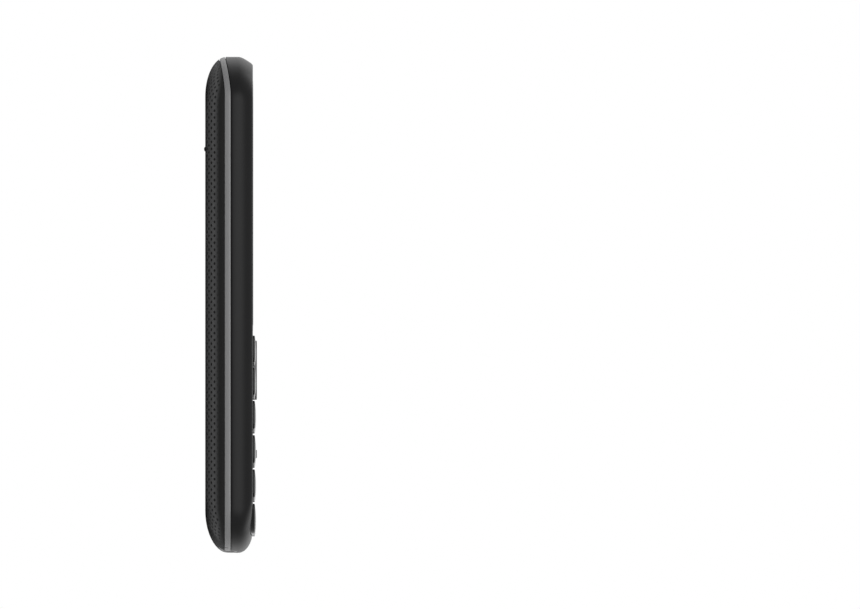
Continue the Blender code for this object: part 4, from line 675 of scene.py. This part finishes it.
# %% [markdown]
# ## Direction ring
# A bright rim frames a dark plate with a square hole for the middle key. They are two loops, so each
# can have its own finish, and both tip together.

# %% Build the direction ring
def ring_loop(name, steps):
    """A closed loop through (outline, grow, z) steps."""
    rings = level_rings([(key_outline(key, grow), z) for key, grow, z in steps])
    return sheet(name, rings, loop=True)


rim = [(RING, 0, 11.4)]
rim += [(RING, -0.22 * (1 - c), 13.88 + 0.22 * s)
        for c, s in arc(5)]
rim += [(RING, -0.62 - 0.1 * s, 14.0 + 0.1 * c)
        for c, s in arc(4)]
ring_rim = ring_loop("ring_rim", rim + [(RING, -0.72, 13.4), (RING, -0.72, 11.4)])
plate = [(RING, -0.74, 11.45), (RING, -0.74, 13.9), (RING, -0.95, 13.93), (RING, -1.6, 13.93),
         (MIDDLE_KEY, 1.1, 13.88)]
plate += [(MIDDLE_KEY, 0.3 + 0.25 * s, 13.6 + 0.25 * (1 - c))
          for c, s in arc(5, QUARTER_TURN, 0)]
ring_plate = ring_loop("ring_plate", plate + [(MIDDLE_KEY, 0.3, 11.45)])
print("direction ring:", len(ring_rim.data.polygons) + len(ring_plate.data.polygons), "faces")

# %% [markdown]
# ## Torch, sockets and their insides
# The torch lens is turned round an axis along the phone. The charging socket is a flat oval tube of
# folded steel with a thin tongue in it. Both are seen close to, so their edges are rounded.

# %% Build the torch lens and the charging socket
LENS_RADIUS = 2.35
SHELL_STRAIGHT, SHELL_RADIUS, SHELL_BACK_Y = 2.89, 1.58, -59.85


def upright_rings(rings):
    """Rings of points from a list of (points across X and Z, y)."""
    return [np.column_stack([x, np.full(len(x), float(y)), z]) for (x, z), y in rings]


def socket_rings(steps):
    """Flat ovals round the charging socket's axis: a list of (half straight, radius, y)."""
    return upright_rings([(port_ring(*CHARGER, straight, radius, 96), y)
                          for straight, radius, y in steps])


lens_profile = [(LENS_RADIUS, 59.4), (LENS_RADIUS, 66.0)]
lens_profile += [(LENS_RADIUS * c, 66.1 + 0.5 * s)
                 for c, s in arc(9, 0.1, 1.5)]
torch_lens = turned("torch_lens_dome", (TORCH[0], 0, TORCH[1]), lens_profile, axis="y")
lip = [(SHELL_STRAIGHT, SHELL_RADIUS - 0.15 + 0.15 * c, -66.2 - 0.15 * s)
       for c, s in arc(7, 0, math.pi)]
tube = [(SHELL_STRAIGHT, SHELL_RADIUS, SHELL_BACK_Y)] + lip
tube += [(SHELL_STRAIGHT, SHELL_RADIUS - 0.3, SHELL_BACK_Y)]
socket_shell = sheet("charging_shell", socket_rings(tube), loop=True)
blade = [(2.62, 0.25, -65.55), (2.62, 0.36, -65.44), (2.62, 0.38, -65.3), (2.62, 0.38, -61.6)]
blade += [(SHELL_STRAIGHT, 1.13, -61.05), (SHELL_STRAIGHT, 1.13, SHELL_BACK_Y)]
socket_tongue = sheet("charging_tongue", socket_rings(blade))
leaf_y = np.linspace(-66.7, -63.2, 29)
bulge = 0.5 * np.sin(math.pi * ((leaf_y + 66.9) / 3.7).clip(0, 1)) ** 2
across, up = rounded_box(-0.07, 0.07, -0.36, 0.36, [0.06] * 4, 3, 2).T
leaf = upright_rings([((across + push + JACK[0] - 1.71, up + JACK[1]), y)
                      for push, y in zip(bulge, leaf_y)])
jack_leaf = sheet("jack_leaf", leaf)
print("socket shell:", len(socket_shell.data.polygons), "faces")

# %% [markdown]
# ## Motor and screws
# The round inner pieces show when the cover is off. The motor is a can with a bearing collar and a
# bore, its weight is half a disc on a shaft, and each screw has a pan head with a cross recess.

# %% Build the motor and the screws
MOTOR_X, MOTOR_Z, MOTOR_RADIUS = 15.5, 4.2, 2.1
MOTOR_AXIS = (MOTOR_X, 0, MOTOR_Z)
can = [(1.85, 34.6), (2.02, 34.66), (MOTOR_RADIUS, 34.8), (MOTOR_RADIUS, 43.1), (2.04, 43.24),
       (1.9, 43.3), (1.1, 43.3), (1.1, 43.4), (0.65, 43.4), (0.65, 42.2)]
motor_can = turned("motor_can", MOTOR_AXIS, can, axis="y")
shaft = [(0.4, 42.4), (0.5, 42.5), (0.5, 47.5), (0.4, 47.6)]
motor_shaft = turned("motor_shaft", MOTOR_AXIS, shaft, axis="y", steps=24)
half_turn = np.linspace(math.pi, 2 * math.pi, 33)
half_disc = [((MOTOR_X + radius * np.cos(half_turn), MOTOR_Z + radius * np.sin(half_turn)), y)
             for radius, y in ((1.98, 44.0), (MOTOR_RADIUS, 44.12), (MOTOR_RADIUS, 47.28),
                               (1.98, 47.4))]
motor_disc = sheet("motor_half_disc", upright_rings(half_disc))
screw_profile = [(0.9, 4.55), (1.05, 4.66), (1.1, 4.85), (1.1, 5.45), (0.65, 5.46), (0.65, 9.2),
                 (0.4, 9.4)]
screws = {}
for number, (y, x) in enumerate([(y, x) for y in (50, 2, -48) for x in (-24.6, 24.6)], start=1):
    screw = turned(f"pan_screw_{number}", (x, y, 0), screw_profile, steps=32)
    for wide, deep in ((0.55, 0.13), (0.13, 0.55)):
        carve(screw, stacked("drive_slot", bar(x, y, wide, deep, 0.1, 3),
                             ((4.3, 0.03), (4.55, 0.0), (5.0, -0.05))))
    screws[f"screw_{number}"] = screw
print("screws:", len(screws), "of", len(screw.data.polygons), "faces")

# %% [markdown]
# ## Finishes
# A finish is a set of shader nodes. Written as sums in Python they stay short: one class wraps a
# node's output so that + - * / add Math nodes, and one method adds any other node.

# %% Helpers for shader nodes
def operator(operation, swapped=False):
    """A method that adds a Math node after a Value."""
    def method(self, other=0):
        return self.finish.math(operation, *((other, self) if swapped else (self, other)))
    return method


class Value:
    """One output of a shader node. Sums on it add Math nodes to its finish."""

    def __init__(self, finish, socket):
        self.finish, self.socket = finish, socket

    __add__, __radd__ = operator("ADD"), operator("ADD", True)
    __sub__, __rsub__ = operator("SUBTRACT"), operator("SUBTRACT", True)
    __mul__, __truediv__, __abs__ = operator("MULTIPLY"), operator("DIVIDE"), operator("ABSOLUTE")

    def fold(self, width):
        """A zigzag between 0 and width."""
        return self.finish.math("PINGPONG", self, width)

    def between(self, start, stop, low=0.0, high=1.0):
        """A gentle step: low before start, high after stop."""
        return self.finish.node("ShaderNodeMapRange", {"interpolation_type": "SMOOTHSTEP"},
                                {0: self, 1: start, 2: stop, 3: low, 4: high})


class Nodes:
    """A node tree, whose sockets take numbers, colours or Values."""

    def __init__(self, owner):
        owner.use_nodes = True
        self.tree = owner.node_tree

    def feed(self, socket, value):
        if isinstance(value, Value):
            self.tree.links.new(value.socket, socket)
        else:
            needs_alpha = isinstance(value, tuple) and len(value) < len(socket.default_value)
            socket.default_value = (*value, 1.0) if needs_alpha else value

    def node(self, kind, settings=None, sockets=None, output=0):
        made = self.tree.nodes.new(kind)
        for setting, value in (settings or {}).items():
            setattr(made, setting, value)
        for socket, value in (sockets or {}).items():
            self.feed(made.inputs[socket], value)
        return Value(self, made.outputs[output])

    def math(self, operation, first, second):
        return self.node("ShaderNodeMath", {"operation": operation}, {0: first, 1: second})


class Finish(Nodes):
    """A material with one Principled shader."""

    def __init__(self, name, **sockets):
        self.material = bpy.data.materials.new(name)
        super().__init__(self.material)
        self.shader = self.tree.nodes["Principled BSDF"]
        for socket, value in sockets.items():
            self.set(socket.replace("_", " ").title().replace("Ior", "IOR"), value)

    def set(self, socket, value):
        self.feed(self.shader.inputs[socket], value)

    def place(self):
        """Object coordinates in millimetres."""
        where = self.node("ShaderNodeTexCoord", output="Object")
        return self.node("ShaderNodeVectorMath", {"operation": "SCALE"}, {0: where, "Scale": 1000.0})

    def axes(self, place=None):
        split = self.tree.nodes.new("ShaderNodeSeparateXYZ")
        self.feed(split.inputs[0], place or self.place())
        return [Value(self, socket) for socket in split.outputs]

    def noise(self, place, scale, detail=3.0, stretch=None):
        """Noise whose scale counts waves in a millimetre, and which stretch can draw out."""
        if stretch:
            place = self.node("ShaderNodeMapping", sockets={0: place, "Scale": stretch})
        return self.node("ShaderNodeTexNoise",
                         sockets={"Vector": place, "Scale": scale, "Detail": detail})

    def mix(self, share, first, second):
        made = self.tree.nodes.new("ShaderNodeMix")
        made.data_type = "RGBA"
        for number, value in ((0, share), (6, first), (7, second)):
            self.feed(made.inputs[number], value)
        return Value(self, made.outputs[2])

    def colour(self, share, first, second):
        self.set("Base Color", self.mix(share, first, second))

    def bump(self, height, depth):
        """Relief of this depth in millimetres where height runs from 0 to 1."""
        self.set("Normal", self.node("ShaderNodeBump", sockets={
            "Strength": 1.0, "Distance": depth * MM, "Height": height}))


def grained(name, colour, roughness, spread, waves, relief, metallic=0.0, **sockets):
    """A moulded or rolled surface: slow clouds in its colour, and a fine grain in its relief."""
    finish = Finish(name, metallic=metallic, **sockets)
    place = finish.place()
    clouds, grain = finish.noise(place, 0.12), finish.noise(place, waves, 2.0)
    light = tuple(min(c * (1 + spread), 1) for c in colour)
    dark = tuple(c * (1 - spread) for c in colour)
    finish.colour(clouds, dark, light)
    finish.set("Roughness", roughness + (grain - 0.5) * 0.08 + (clouds - 0.5) * 0.06)
    finish.bump(grain, relief)
    return finish


print("shader helpers ready")

# %% [markdown]
# ## Outer finishes
# The housing is satin black plastic, the cover is matte with rows of dimples, the band is grey metal
# brushed along its length, and the window and keys are glossy.

# %% Housing, band and gloss finishes
housing_plastic = grained("satin_black_plastic", (0.006, 0.006, 0.0063), 0.36, 0.08, 9.0, 0.003,
                          specular_ior_level=0.12)
key_plastic = grained("gloss_black_key", (0.005, 0.005, 0.0053), 0.2, 0.1, 5.0, 0.002,
                      specular_ior_level=0.16)
mark_white = grained("printed_white", (0.78, 0.78, 0.76), 0.45, 0.03, 8.0, 0.001)
mark_green = grained("printed_green", (0.03, 0.42, 0.07), 0.45, 0.05, 8.0, 0.001)
mark_red = grained("printed_red", (0.55, 0.025, 0.02), 0.45, 0.05, 8.0, 0.001)
nub_grey = grained("nub_grey", (0.12, 0.12, 0.12), 0.4, 0.05, 8.0, 0.002)
rim_dark = grained("dark_chrome_rim", (0.055, 0.055, 0.057), 0.24, 0.06, 7.0, 0.002, 0.6)
plate_dark = grained("ring_plate_black", (0.010, 0.010, 0.011), 0.24, 0.1, 6.0, 0.003,
                     specular_ior_level=0.2)

band_metal = Finish("gunmetal_trim", metallic=0.55)
place = band_metal.place()
brushing = band_metal.noise(place, 3.0, 4.0, (0.4, 0.15, 9.0))
band_metal.colour(brushing, (0.165, 0.165, 0.167), (0.205, 0.205, 0.207))
band_metal.set("Roughness", 0.3 + brushing * 0.18)
band_metal.bump(brushing, 0.004)

window_gloss = Finish("gloss_black_window", roughness=0.05, specular_ior_level=0.25)
place = window_gloss.place()
x, y, z = window_gloss.axes(place)
inside = abs(x).between(22.15, 22.05) * y.between(-4.3, -4.2) * y.between(54.55, 54.45)
sheen = window_gloss.noise(place, 0.05, 1.0)
panel = window_gloss.mix(sheen, (0.010, 0.011, 0.014), (0.014, 0.016, 0.020))
window_gloss.colour(inside, (0.0045, 0.0045, 0.005), panel)
window_gloss.set("Roughness", 0.04 + sheen * 0.03)
print("housing, band, window and key finishes ready")

# %% [markdown]
# ## Dimpled cover
# The dimples are the points of two square-set lattices, one shifted by half a step, on the cover laid
# flat. They fade out towards the seam and at the middle of the socket end, which is plain.

# %% Cover finish
DIMPLE_PITCH = (2.545, 1.896, 1)
DIMPLE_START = (0.5, 0.0506, 0)
cover_plastic = Finish("dimpled_black_plastic", specular_ior_level=0.15)
flat = cover_plastic.node("ShaderNodeUVMap", {"uv_map": "laid_flat"})
place = cover_plastic.place()


def lattice_distance(flat, shift):
    """Distance in millimetres to the nearest point of a lattice with its own pitch along X and Y."""
    def step(operation, value, other=(0, 0, 0), output="Vector"):
        return cover_plastic.node("ShaderNodeVectorMath", {"operation": operation},
                                  {0: value, 1: other}, output)
    cells = step("DIVIDE", flat, DIMPLE_PITCH)
    cells = step("ADD", cells, (DIMPLE_START[0] + shift, DIMPLE_START[1] + shift, 0))
    cells = step("SUBTRACT", step("FRACTION", cells), (0.5, 0.5, 0))
    return step("LENGTH", step("MULTIPLY", cells, DIMPLE_PITCH), output="Value")


nearest = cover_plastic.math("MINIMUM", lattice_distance(flat, 0.0), lattice_distance(flat, 0.5))
x, y, z = cover_plastic.axes(place)
plain_end = y.between(-60.5, -62) * abs(x).between(21, 18)
corner_rise = abs(y).between(54, 63) * 0.8
field = (z - corner_rise).between(3.9, 3.4) * (1 - plain_end)
dimple_and_painted_shade = nearest.between(0.44, 0.29) * field
grain = cover_plastic.noise(place, 7.0, 2.0)
surface = cover_plastic.mix(grain, (0.086, 0.086, 0.087), (0.106, 0.106, 0.107))
# Painted light: the cover is coloured lighter towards its back, below 2.4 mm (0.8 mm higher near the
# ends), fading to near black by 4.3 mm.
surface = cover_plastic.mix((z - corner_rise).between(2.4, 4.3), surface, (0.011, 0.011, 0.011))
surface = cover_plastic.mix(plain_end, surface, (0.022, 0.022, 0.022))
# Painted shade: the dimples are coloured near black, darker than the surface round them.
cover_plastic.colour(dimple_and_painted_shade, surface, (0.010, 0.010, 0.010))
cover_plastic.set("Roughness", 0.62 + grain * 0.1)
cover_plastic.bump((1 - dimple_and_painted_shade) + grain * 0.06, 0.12)
print("cover finish with", len(cover_plastic.tree.nodes), "nodes")

# %% [markdown]
# ## Inner and small finishes
# These show at the ports, through the slots, and when the cover is lifted away. They differ only in
# colour, roughness, spread, waves, relief and metallic, so a table holds them.

# %% Inner finishes
# Painted shade: this near-black steel goes on the charging socket's shell so that the socket's opening
# reads dark; the screws take it as blackened steel.
dark_steel_and_socket_shade = grained("blackened_steel_and_socket_shade", (0.030, 0.030, 0.031), 0.35, 0.08, 8.0, 0.002, metallic=0.9)
GRAINED = {
    "nickel_steel": ((0.52, 0.52, 0.53), 0.26, 0.06, 8.0, 0.002, 1.0),
    "gold_plate": ((0.80, 0.56, 0.20), 0.24, 0.08, 8.0, 0.002, 1.0),
    "connector_black": ((0.012, 0.012, 0.012), 0.5, 0.2, 8.0, 0.006),
    "frame_black": ((0.017, 0.017, 0.018), 0.55, 0.2, 7.0, 0.01),
    "white_plastic": ((0.74, 0.74, 0.72), 0.45, 0.04, 7.0, 0.004),
    "grey_silicone": ((0.16, 0.16, 0.17), 0.7, 0.1, 7.0, 0.006),
    "clear_film": ((0.60, 0.62, 0.64), 0.3, 0.05, 7.0, 0.002),
    "display_glass": ((0.012, 0.012, 0.015), 0.08, 0.1, 2.0, 0.0005),
    "lamp_phosphor": ((0.85, 0.66, 0.05), 0.5, 0.05, 8.0, 0.004),
}
slot_finishes = {slot: grained(slot, *values) for slot, values in GRAINED.items()}
steel, gold = slot_finishes["nickel_steel"], slot_finishes["gold_plate"]
print("plain inner finishes:", len(slot_finishes))

# %% [markdown]
# ## Patterned inner finishes
# The battery's wrap is crinkled with a strip of tape, the board has tracks and gilt pads, the flex has
# copper strands, and the sound openings have a plain weave behind them.

# %% Battery, board, flex and mesh
battery_wrap = Finish("battery_wrap", metallic=0.2)
place = battery_wrap.place()
x, y, z = battery_wrap.axes(place)
crinkle = battery_wrap.noise(place, 0.8, 3.0)
tape = y.between(3.4, 3.5)
cell = battery_wrap.mix(crinkle, (0.085, 0.088, 0.092), (0.125, 0.13, 0.135))
battery_wrap.colour(tape, cell, (0.02, 0.02, 0.02))
battery_wrap.set("Roughness", 0.38 + crinkle * 0.15)
battery_wrap.bump(crinkle, 0.03)

board_green = Finish("board_green", roughness=0.4)
place = board_green.place()
cells = board_green.node("ShaderNodeTexVoronoi", {"feature": "DISTANCE_TO_EDGE"},
                         {"Vector": place, "Scale": 0.45})
tracks = cells.between(0.1, 0.06)
pads = board_green.node("ShaderNodeTexVoronoi",
                        sockets={"Vector": place, "Scale": 0.9, "Randomness": 0.35})
pads = pads.between(0.22, 0.18)
mask = board_green.mix(tracks, (0.012, 0.075, 0.032), (0.025, 0.125, 0.055))
board_green.colour(pads, mask, (0.62, 0.47, 0.2))
board_green.set("Metallic", pads * 0.9)
board_green.bump(tracks + pads * 0.5, 0.02)

flex_film = Finish("flex_film", roughness=0.32)
x, y, z = flex_film.axes()
strands = x.fold(0.3)
strands = strands.between(0.12, 0.18)
flex_film.colour(strands, (0.24, 0.10, 0.025), (0.42, 0.20, 0.05))
flex_film.bump(strands, 0.02)


def woven(name, colour, pitch):
    """A plain weave: threads cross every pitch millimetres, with dark gaps between them."""
    finish = Finish(name, roughness=0.6)
    x, y, z = finish.axes()
    across = x.fold(pitch / 2)
    down = y.fold(pitch / 2)
    thread = finish.node("ShaderNodeMath", {"operation": "MAXIMUM"}, {0: across, 1: down})
    thread = thread.between(pitch * 0.2, pitch * 0.4)
    finish.colour(thread, (0.002, 0.002, 0.002), colour)
    finish.bump(thread, 0.06)
    return finish


mesh_black = woven("woven_mesh", (0.05, 0.05, 0.05), 0.36)
print("board finish with", len(board_green.tree.nodes), "nodes")

# %% [markdown]
# ## Torch lens and charging tongue
# The lens has fine rings and lets the lamp's yellow show in its middle. The tongue is white plastic
# with gilt contacts half a millimetre apart.

# %% Lens and tongue
torch_clear = Finish("torch_lens_clear", roughness=0.12, coat_weight=0.5)
x, y, z = torch_clear.axes()
x, z = x - TORCH[0], z - (TORCH[1] + NUB_HEIGHT)
radius = torch_clear.node("ShaderNodeMath", {"operation": "SQRT"}, {0: x * x + z * z})
ripple = radius.fold(0.22)
glow = torch_clear.mix(radius.between(1.9, 0.4), (0.80, 0.80, 0.74), (0.93, 0.86, 0.36))
glow = torch_clear.mix(radius.between(0.75, 0.5), glow, (0.95, 0.78, 0.10))
torch_clear.set("Base Color", glow)
torch_clear.bump(ripple / 0.22, 0.012)

tongue_plastic = Finish("tongue_with_contacts", roughness=0.35)
x, y, z = tongue_plastic.axes()
beside = abs(x - CHARGER[0])
contact = (beside + 0.25).fold(0.25).between(0.11, 0.13) * beside.between(2.6, 2.55)
contact = contact * y.between(-65.1, -65.0) * y.between(-61.9, -62.0)
tongue_plastic.colour(contact, (0.80, 0.80, 0.79), (0.8, 0.56, 0.2))
tongue_plastic.set("Metallic", contact)
print("lens finish with", len(torch_clear.tree.nodes), "nodes")

# %% [markdown]
# ## Key legends
# The digits and letters are thin solids, sunk in the caps and a hundredth of a millimetre proud of
# them. A flat outline is split small, laid on the pillow and closed below. A picture would be the
# usual way, but geometry stays sharp at any size.

# %% Helpers for legends
LEGEND_LIFT = 0.012
LEGEND_DEPTH = 0.05
FINEST_EDGE = 0.3
TOUCHING = 1e-3


def crown_at(key, x, y):
    """Height of a key's crown over places on it, from the distance to its nearest edge."""
    middle = y - (sag(x) if key["bends"] else 0)
    edge = np.minimum.reduce([x - key["x0"], key["x1"] - x, middle - key["y0"], key["y1"] - middle])
    share = np.clip((edge - SHOULDER_INSET) / (RIDGE_INSET - SHOULDER_INSET), 0, 1)
    return crown_height(share)


def lay_on_key(name, points, faces):
    """A flat mark, split until no edge is longer than FINEST_EDGE, laid on a key's crown and closed
    with a bottom and sides."""
    key = KEYS[name]
    grid = bmesh.new()
    corners = [grid.verts.new((px, py, 0)) for px, py in points]
    for face in faces:
        grid.faces.new([corners[i] for i in face])
    bmesh.ops.remove_doubles(grid, verts=grid.verts, dist=TOUCHING)
    for _ in range(6):
        bmesh.ops.triangulate(grid, faces=grid.faces)
        bmesh.ops.dissolve_degenerate(grid, dist=TOUCHING, edges=grid.edges)
        bmesh.ops.triangulate(grid, faces=grid.faces)
        long = [edge for edge in grid.edges if edge.calc_length() > FINEST_EDGE]
        if not long:
            break
        bmesh.ops.subdivide_edges(grid, edges=long, cuts=1)
    bmesh.ops.triangulate(grid, faces=grid.faces)
    flat = np.array([vertex.co[:2] for vertex in grid.verts])
    grid.verts.index_update()
    top = np.array([[vertex.index for vertex in face.verts] for face in grid.faces])
    grid.free()
    first, second, third = (flat[top[:, i]] for i in range(3))
    if np.cross(second - first, third - first).sum() < 0:
        top = top[:, ::-1]
    count = len(flat)
    edges = np.concatenate([top[:, [0, 1]], top[:, [1, 2]], top[:, [2, 0]]])
    rim = edges[~np.isin(edges @ (count, 1), edges @ (1, count))]
    sides = np.column_stack([rim[:, ::-1], rim + count])
    height = crown_at(key, *flat.T) + LEGEND_LIFT
    points = [np.column_stack([flat, height - depth]) for depth in (0, LEGEND_DEPTH)]
    faces = top.tolist() + (top[:, ::-1] + count).tolist() + sides.tolist()
    return new_piece(name + "_legend", np.concatenate(points), faces)


def text_shape(words, size, x, y, thicken=0.0):
    """Outline points and faces of some text, centred on x and y."""
    curve = bpy.data.curves.new("words", "FONT")
    curve.body, curve.size, curve.offset = words, size, thicken
    curve.align_x, curve.align_y, curve.resolution_u = "CENTER", "CENTER", 5
    holder = add_object("words", curve)
    made = bpy.data.meshes.new_from_object(holder.evaluated_get(bpy.context.evaluated_depsgraph_get()))
    points = np.array([vertex.co[:2] for vertex in made.vertices])
    faces = [list(face.vertices) for face in made.polygons]
    bpy.data.objects.remove(holder)
    middle = (points.min(axis=0) + points.max(axis=0)) / 2
    return points - middle + (x, y), faces


def hash_shape(x, y):
    """A hash sign: the cells of a leaning grid that lie in its two upright or its two level bars."""
    rows, columns = (-1.85, -0.87, -0.4, 0.4, 0.87, 1.85), (-1.8, -1.0, -0.5, 0.5, 1.0, 1.8)
    row, column = np.meshgrid(rows, columns, indexing="ij")
    points = np.stack([x + column + 0.2 * row, y + row], axis=-1).reshape(-1, 2)
    cells = np.array(grid_faces(6, 6, wrap=False)).reshape(5, 5, 4)
    filled = [cells[j, i].tolist() for j in range(5) for i in range(5) if i in (1, 3) or j in (1, 3)]
    return points, filled


def handset(x, y, turn):
    """A handset: an arc that is narrow in the middle and wide at both ends, turned about x and y."""
    angle = np.linspace(math.radians(28), math.radians(152), 41)
    end = ease((np.abs(angle - QUARTER_TURN) - 0.62) / 0.2)
    ring = [np.stack([r * np.cos(angle), r * np.sin(angle) - 2.05], axis=1)
            for r in (2.75 + 0 * angle, 2.05 - 0.75 * end)]
    spin = np.array([[math.cos(turn), -math.sin(turn)], [math.sin(turn), math.cos(turn)]])
    return np.concatenate(ring) @ spin.T + (x, y), grid_faces(2, 41, wrap=False)


# %% [markdown]
# ## Legends for each key
# Digits are bold and letters fine. The soft keys have a dash each, and the call and end keys a
# handset, lifted on one and laid down on the other.

# %% Print the legends
DIGIT_SIZE, DIGIT_SHIFT, DIGIT_BOLD = 5.4, -2.9, 0.08
LETTER_SIZE, LETTER_SHIFT = 2.05, 3.2
STAR_DROP = 0.5
LETTERS = {"2": "ABC", "3": "DEF", "4": "GHI", "5": "JKL", "6": "MNO", "7": "PQRS", "8": "TUV",
           "9": "WXYZ"}
SIGNS = {"key_star": "*", "key_hash": "#"}


def digit_shape(sign, x, y):
    """A digit or sign with its letters beside it. A bold 4 would overlap itself, so it stays plain."""
    if sign == "#":
        return hash_shape(x, y)
    if sign not in LETTERS:
        return text_shape(sign, DIGIT_SIZE, x, y - (STAR_DROP if sign == "*" else 0), DIGIT_BOLD)
    bold = 0 if sign == "4" else DIGIT_BOLD
    points, faces = text_shape(sign, DIGIT_SIZE, x + DIGIT_SHIFT, y, bold)
    more_points, more_faces = text_shape(LETTERS[sign], LETTER_SIZE, x + LETTER_SHIFT, y)
    faces += [[i + len(points) for i in face] for face in more_faces]
    return np.concatenate([points, more_points]), faces


legends = {}
for name in [*sum(DIGIT_ROWS, ()), "call_key", "end_key", "softkey_left", "softkey_right"]:
    centre, level = middle_of(KEYS[name])
    if name in ("call_key", "end_key"):
        shape = handset(centre, level, math.radians(125) if name == "call_key" else 0.0)
    elif name.startswith("softkey"):
        dash = rounded_box(centre - 1.7, centre + 1.7, level - 0.28, level + 0.28, [0.27] * 4, 5, 3)
        shape = dash, [list(range(len(dash)))]
    else:
        shape = digit_shape(SIGNS.get(name, name[-1]), centre, level)
    legends[name] = lay_on_key(name, *shape)
print("legends:", len(legends), "with", sum(len(piece.data.polygons) for piece in legends.values()),
      "faces")

# %% [markdown]
# ## Dressing the frame
# Each new piece rides on the body that carries it, stands for the imported nodes that it replaces, and
# takes its finish. Imported nodes that are already the right shape only get a finish.

# %% Put the pieces on their bodies
def dress(piece, finish, body, slot, *nodes):
    piece.data.materials.clear()
    piece.data.materials.append(finish.material)
    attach(piece, body)
    if nodes:
        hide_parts(*nodes)


dress(housing, housing_plastic, "phone", "satin_black_plastic", "front_housing")
dress(trim_band, band_metal, "phone", "gunmetal_trim", "trim_band")
dress(cover, cover_plastic, "cover", "textured_black_plastic", "back_cover")
dress(nub, housing_plastic, "cover", "textured_black_plastic")
dress(window, window_gloss, "phone", "gloss_black_lens", "display_lens")
dress(ring_rim, rim_dark, "nav_ring", "grey_ring", "nav_ring")
dress(ring_plate, plate_dark, "nav_ring", "grey_ring")
dress(torch_lens, torch_clear, "phone", "lamp_lens", "torch_lens")
# Painted shade: the socket's shell takes the near-black steel in place of nickel.
dress(socket_shell, dark_steel_and_socket_shade, "phone", "nickel_steel", "usb_shell")
dress(socket_tongue, tongue_plastic, "phone", "white_plastic", "usb_tongue")
dress(jack_leaf, gold, "phone", "gold_plate", "jack_contact")
for name, cap in caps.items():
    dress(cap, key_plastic, name, "gloss_black_keys", name)
for name, legend in legends.items():
    finish = {"call_key": mark_green, "end_key": mark_red}.get(name, mark_white)
    dress(legend, finish, name, "white_plastic")
dress(nub_five, nub_grey, "key_5", "grey_ring")
dress(motor_can, steel, "phone", "nickel_steel", "vibration_motor")
dress(motor_disc, steel, "motor_weight", "nickel_steel", "motor_weight")
dress(motor_shaft, steel, "motor_weight", "nickel_steel")
for name, screw in screws.items():
    dress(screw, dark_steel_and_socket_shade, "phone", "nickel_steel", name)

slot_finishes.update({
    "battery_wrap": battery_wrap, "board_green": board_green, "flex_film": flex_film,
    "mesh_black": mesh_black, "satin_black_plastic": housing_plastic, "gunmetal_trim": band_metal,
    "textured_black_plastic": cover_plastic, "gloss_black_lens": window_gloss,
    "gloss_black_keys": key_plastic, "grey_ring": rim_dark, "lamp_lens": torch_clear,
})
NODE_SLOTS = {part["node"]: part["material_slot"] for part in frame["record"]["subparts"]}
for name, node in frame["nodes"].items():
    finish = slot_finishes[NODE_SLOTS[name]]
    for slot in node.material_slots:
        slot.link = "OBJECT"
        slot.material = finish.material
print("packed nodes with a finish:", len(frame["nodes"]))

# %% [markdown]
# ## Camera
# The photograph shows the phone flat on, standing up in the frame. A camera without perspective at
# the phone's left side, turned a quarter, gives that view while the phone lies on its back.

# %% Camera
PIXEL = 0.2727 * MM
PICTURE_WIDTH = 860
camera_data = bpy.data.cameras.new("side_camera")
camera_data.type = "ORTHO"
camera_data.ortho_scale = PICTURE_WIDTH * PIXEL
camera_data.clip_end = 10
camera = add_object("side_camera", camera_data)
camera.matrix_world = Matrix(
    ((0, 0, -1, -0.6), (0, 1, 0, 0.12 * MM), (1, 0, 0, 61.61 * MM), (0, 0, 0, 1)))
bpy.context.scene.camera = camera
print("camera width in metres:", round(camera_data.ortho_scale, 4))

# %% [markdown]
# ## Floor and light
# Three soft lamps light a plain pale floor. The world is white where the camera, a reflection or a
# clear piece sees it, and gives a weaker light to everything else.

# %% Floor, world and lamps
FLOOR_EDGE = 1.5
AMBIENT = 0.55
TARGET = Vector((0, 0, 0.007))
corners = [(x * FLOOR_EDGE, y * FLOOR_EDGE, 0) for x, y in ((-1, -1), (1, -1), (1, 1), (-1, 1))]
mesh = bpy.data.meshes.new("floor")
mesh.from_pydata(corners, [], [(0, 1, 2, 3)])
floor = add_object("floor", mesh)
mesh.materials.append(Finish("pale_floor", base_color=(0.86, 0.86, 0.86), roughness=0.9).material)
for name, place, size, power in (("side_softbox", (-0.55, 0.05, 0.28), 0.4, 1.6),
                                 ("top_softbox", (0.25, -0.25, 0.7), 0.6, 1.7),
                                 ("far_softbox", (0.42, 0.28, 0.5), 0.4, 0.7)):
    lamp_data = bpy.data.lights.new(name, "AREA")
    lamp_data.size, lamp_data.energy = size, power
    turn = (TARGET - Vector(place)).to_track_quat("-Z", "Y")
    add_object(name, lamp_data).matrix_world = Matrix.LocRotScale(Vector(place), turn, None)
world = bpy.data.worlds.new("studio")
bpy.context.scene.world = world
studio = Nodes(world)
camera_ray, glossy_ray, clear_ray = (studio.node("ShaderNodeLightPath", output=f"Is {ray} Ray")
                                     for ray in ("Camera", "Glossy", "Transmission"))
level = (camera_ray + glossy_ray + clear_ray).between(0, 1, AMBIENT, 1.0)
background = studio.tree.nodes["Background"]
studio.feed(background.inputs["Strength"], level)
studio.feed(background.inputs["Color"], (1, 1, 1))
bpy.context.scene.view_settings.view_transform = "Standard"
print("lamps:", len(bpy.data.lights))
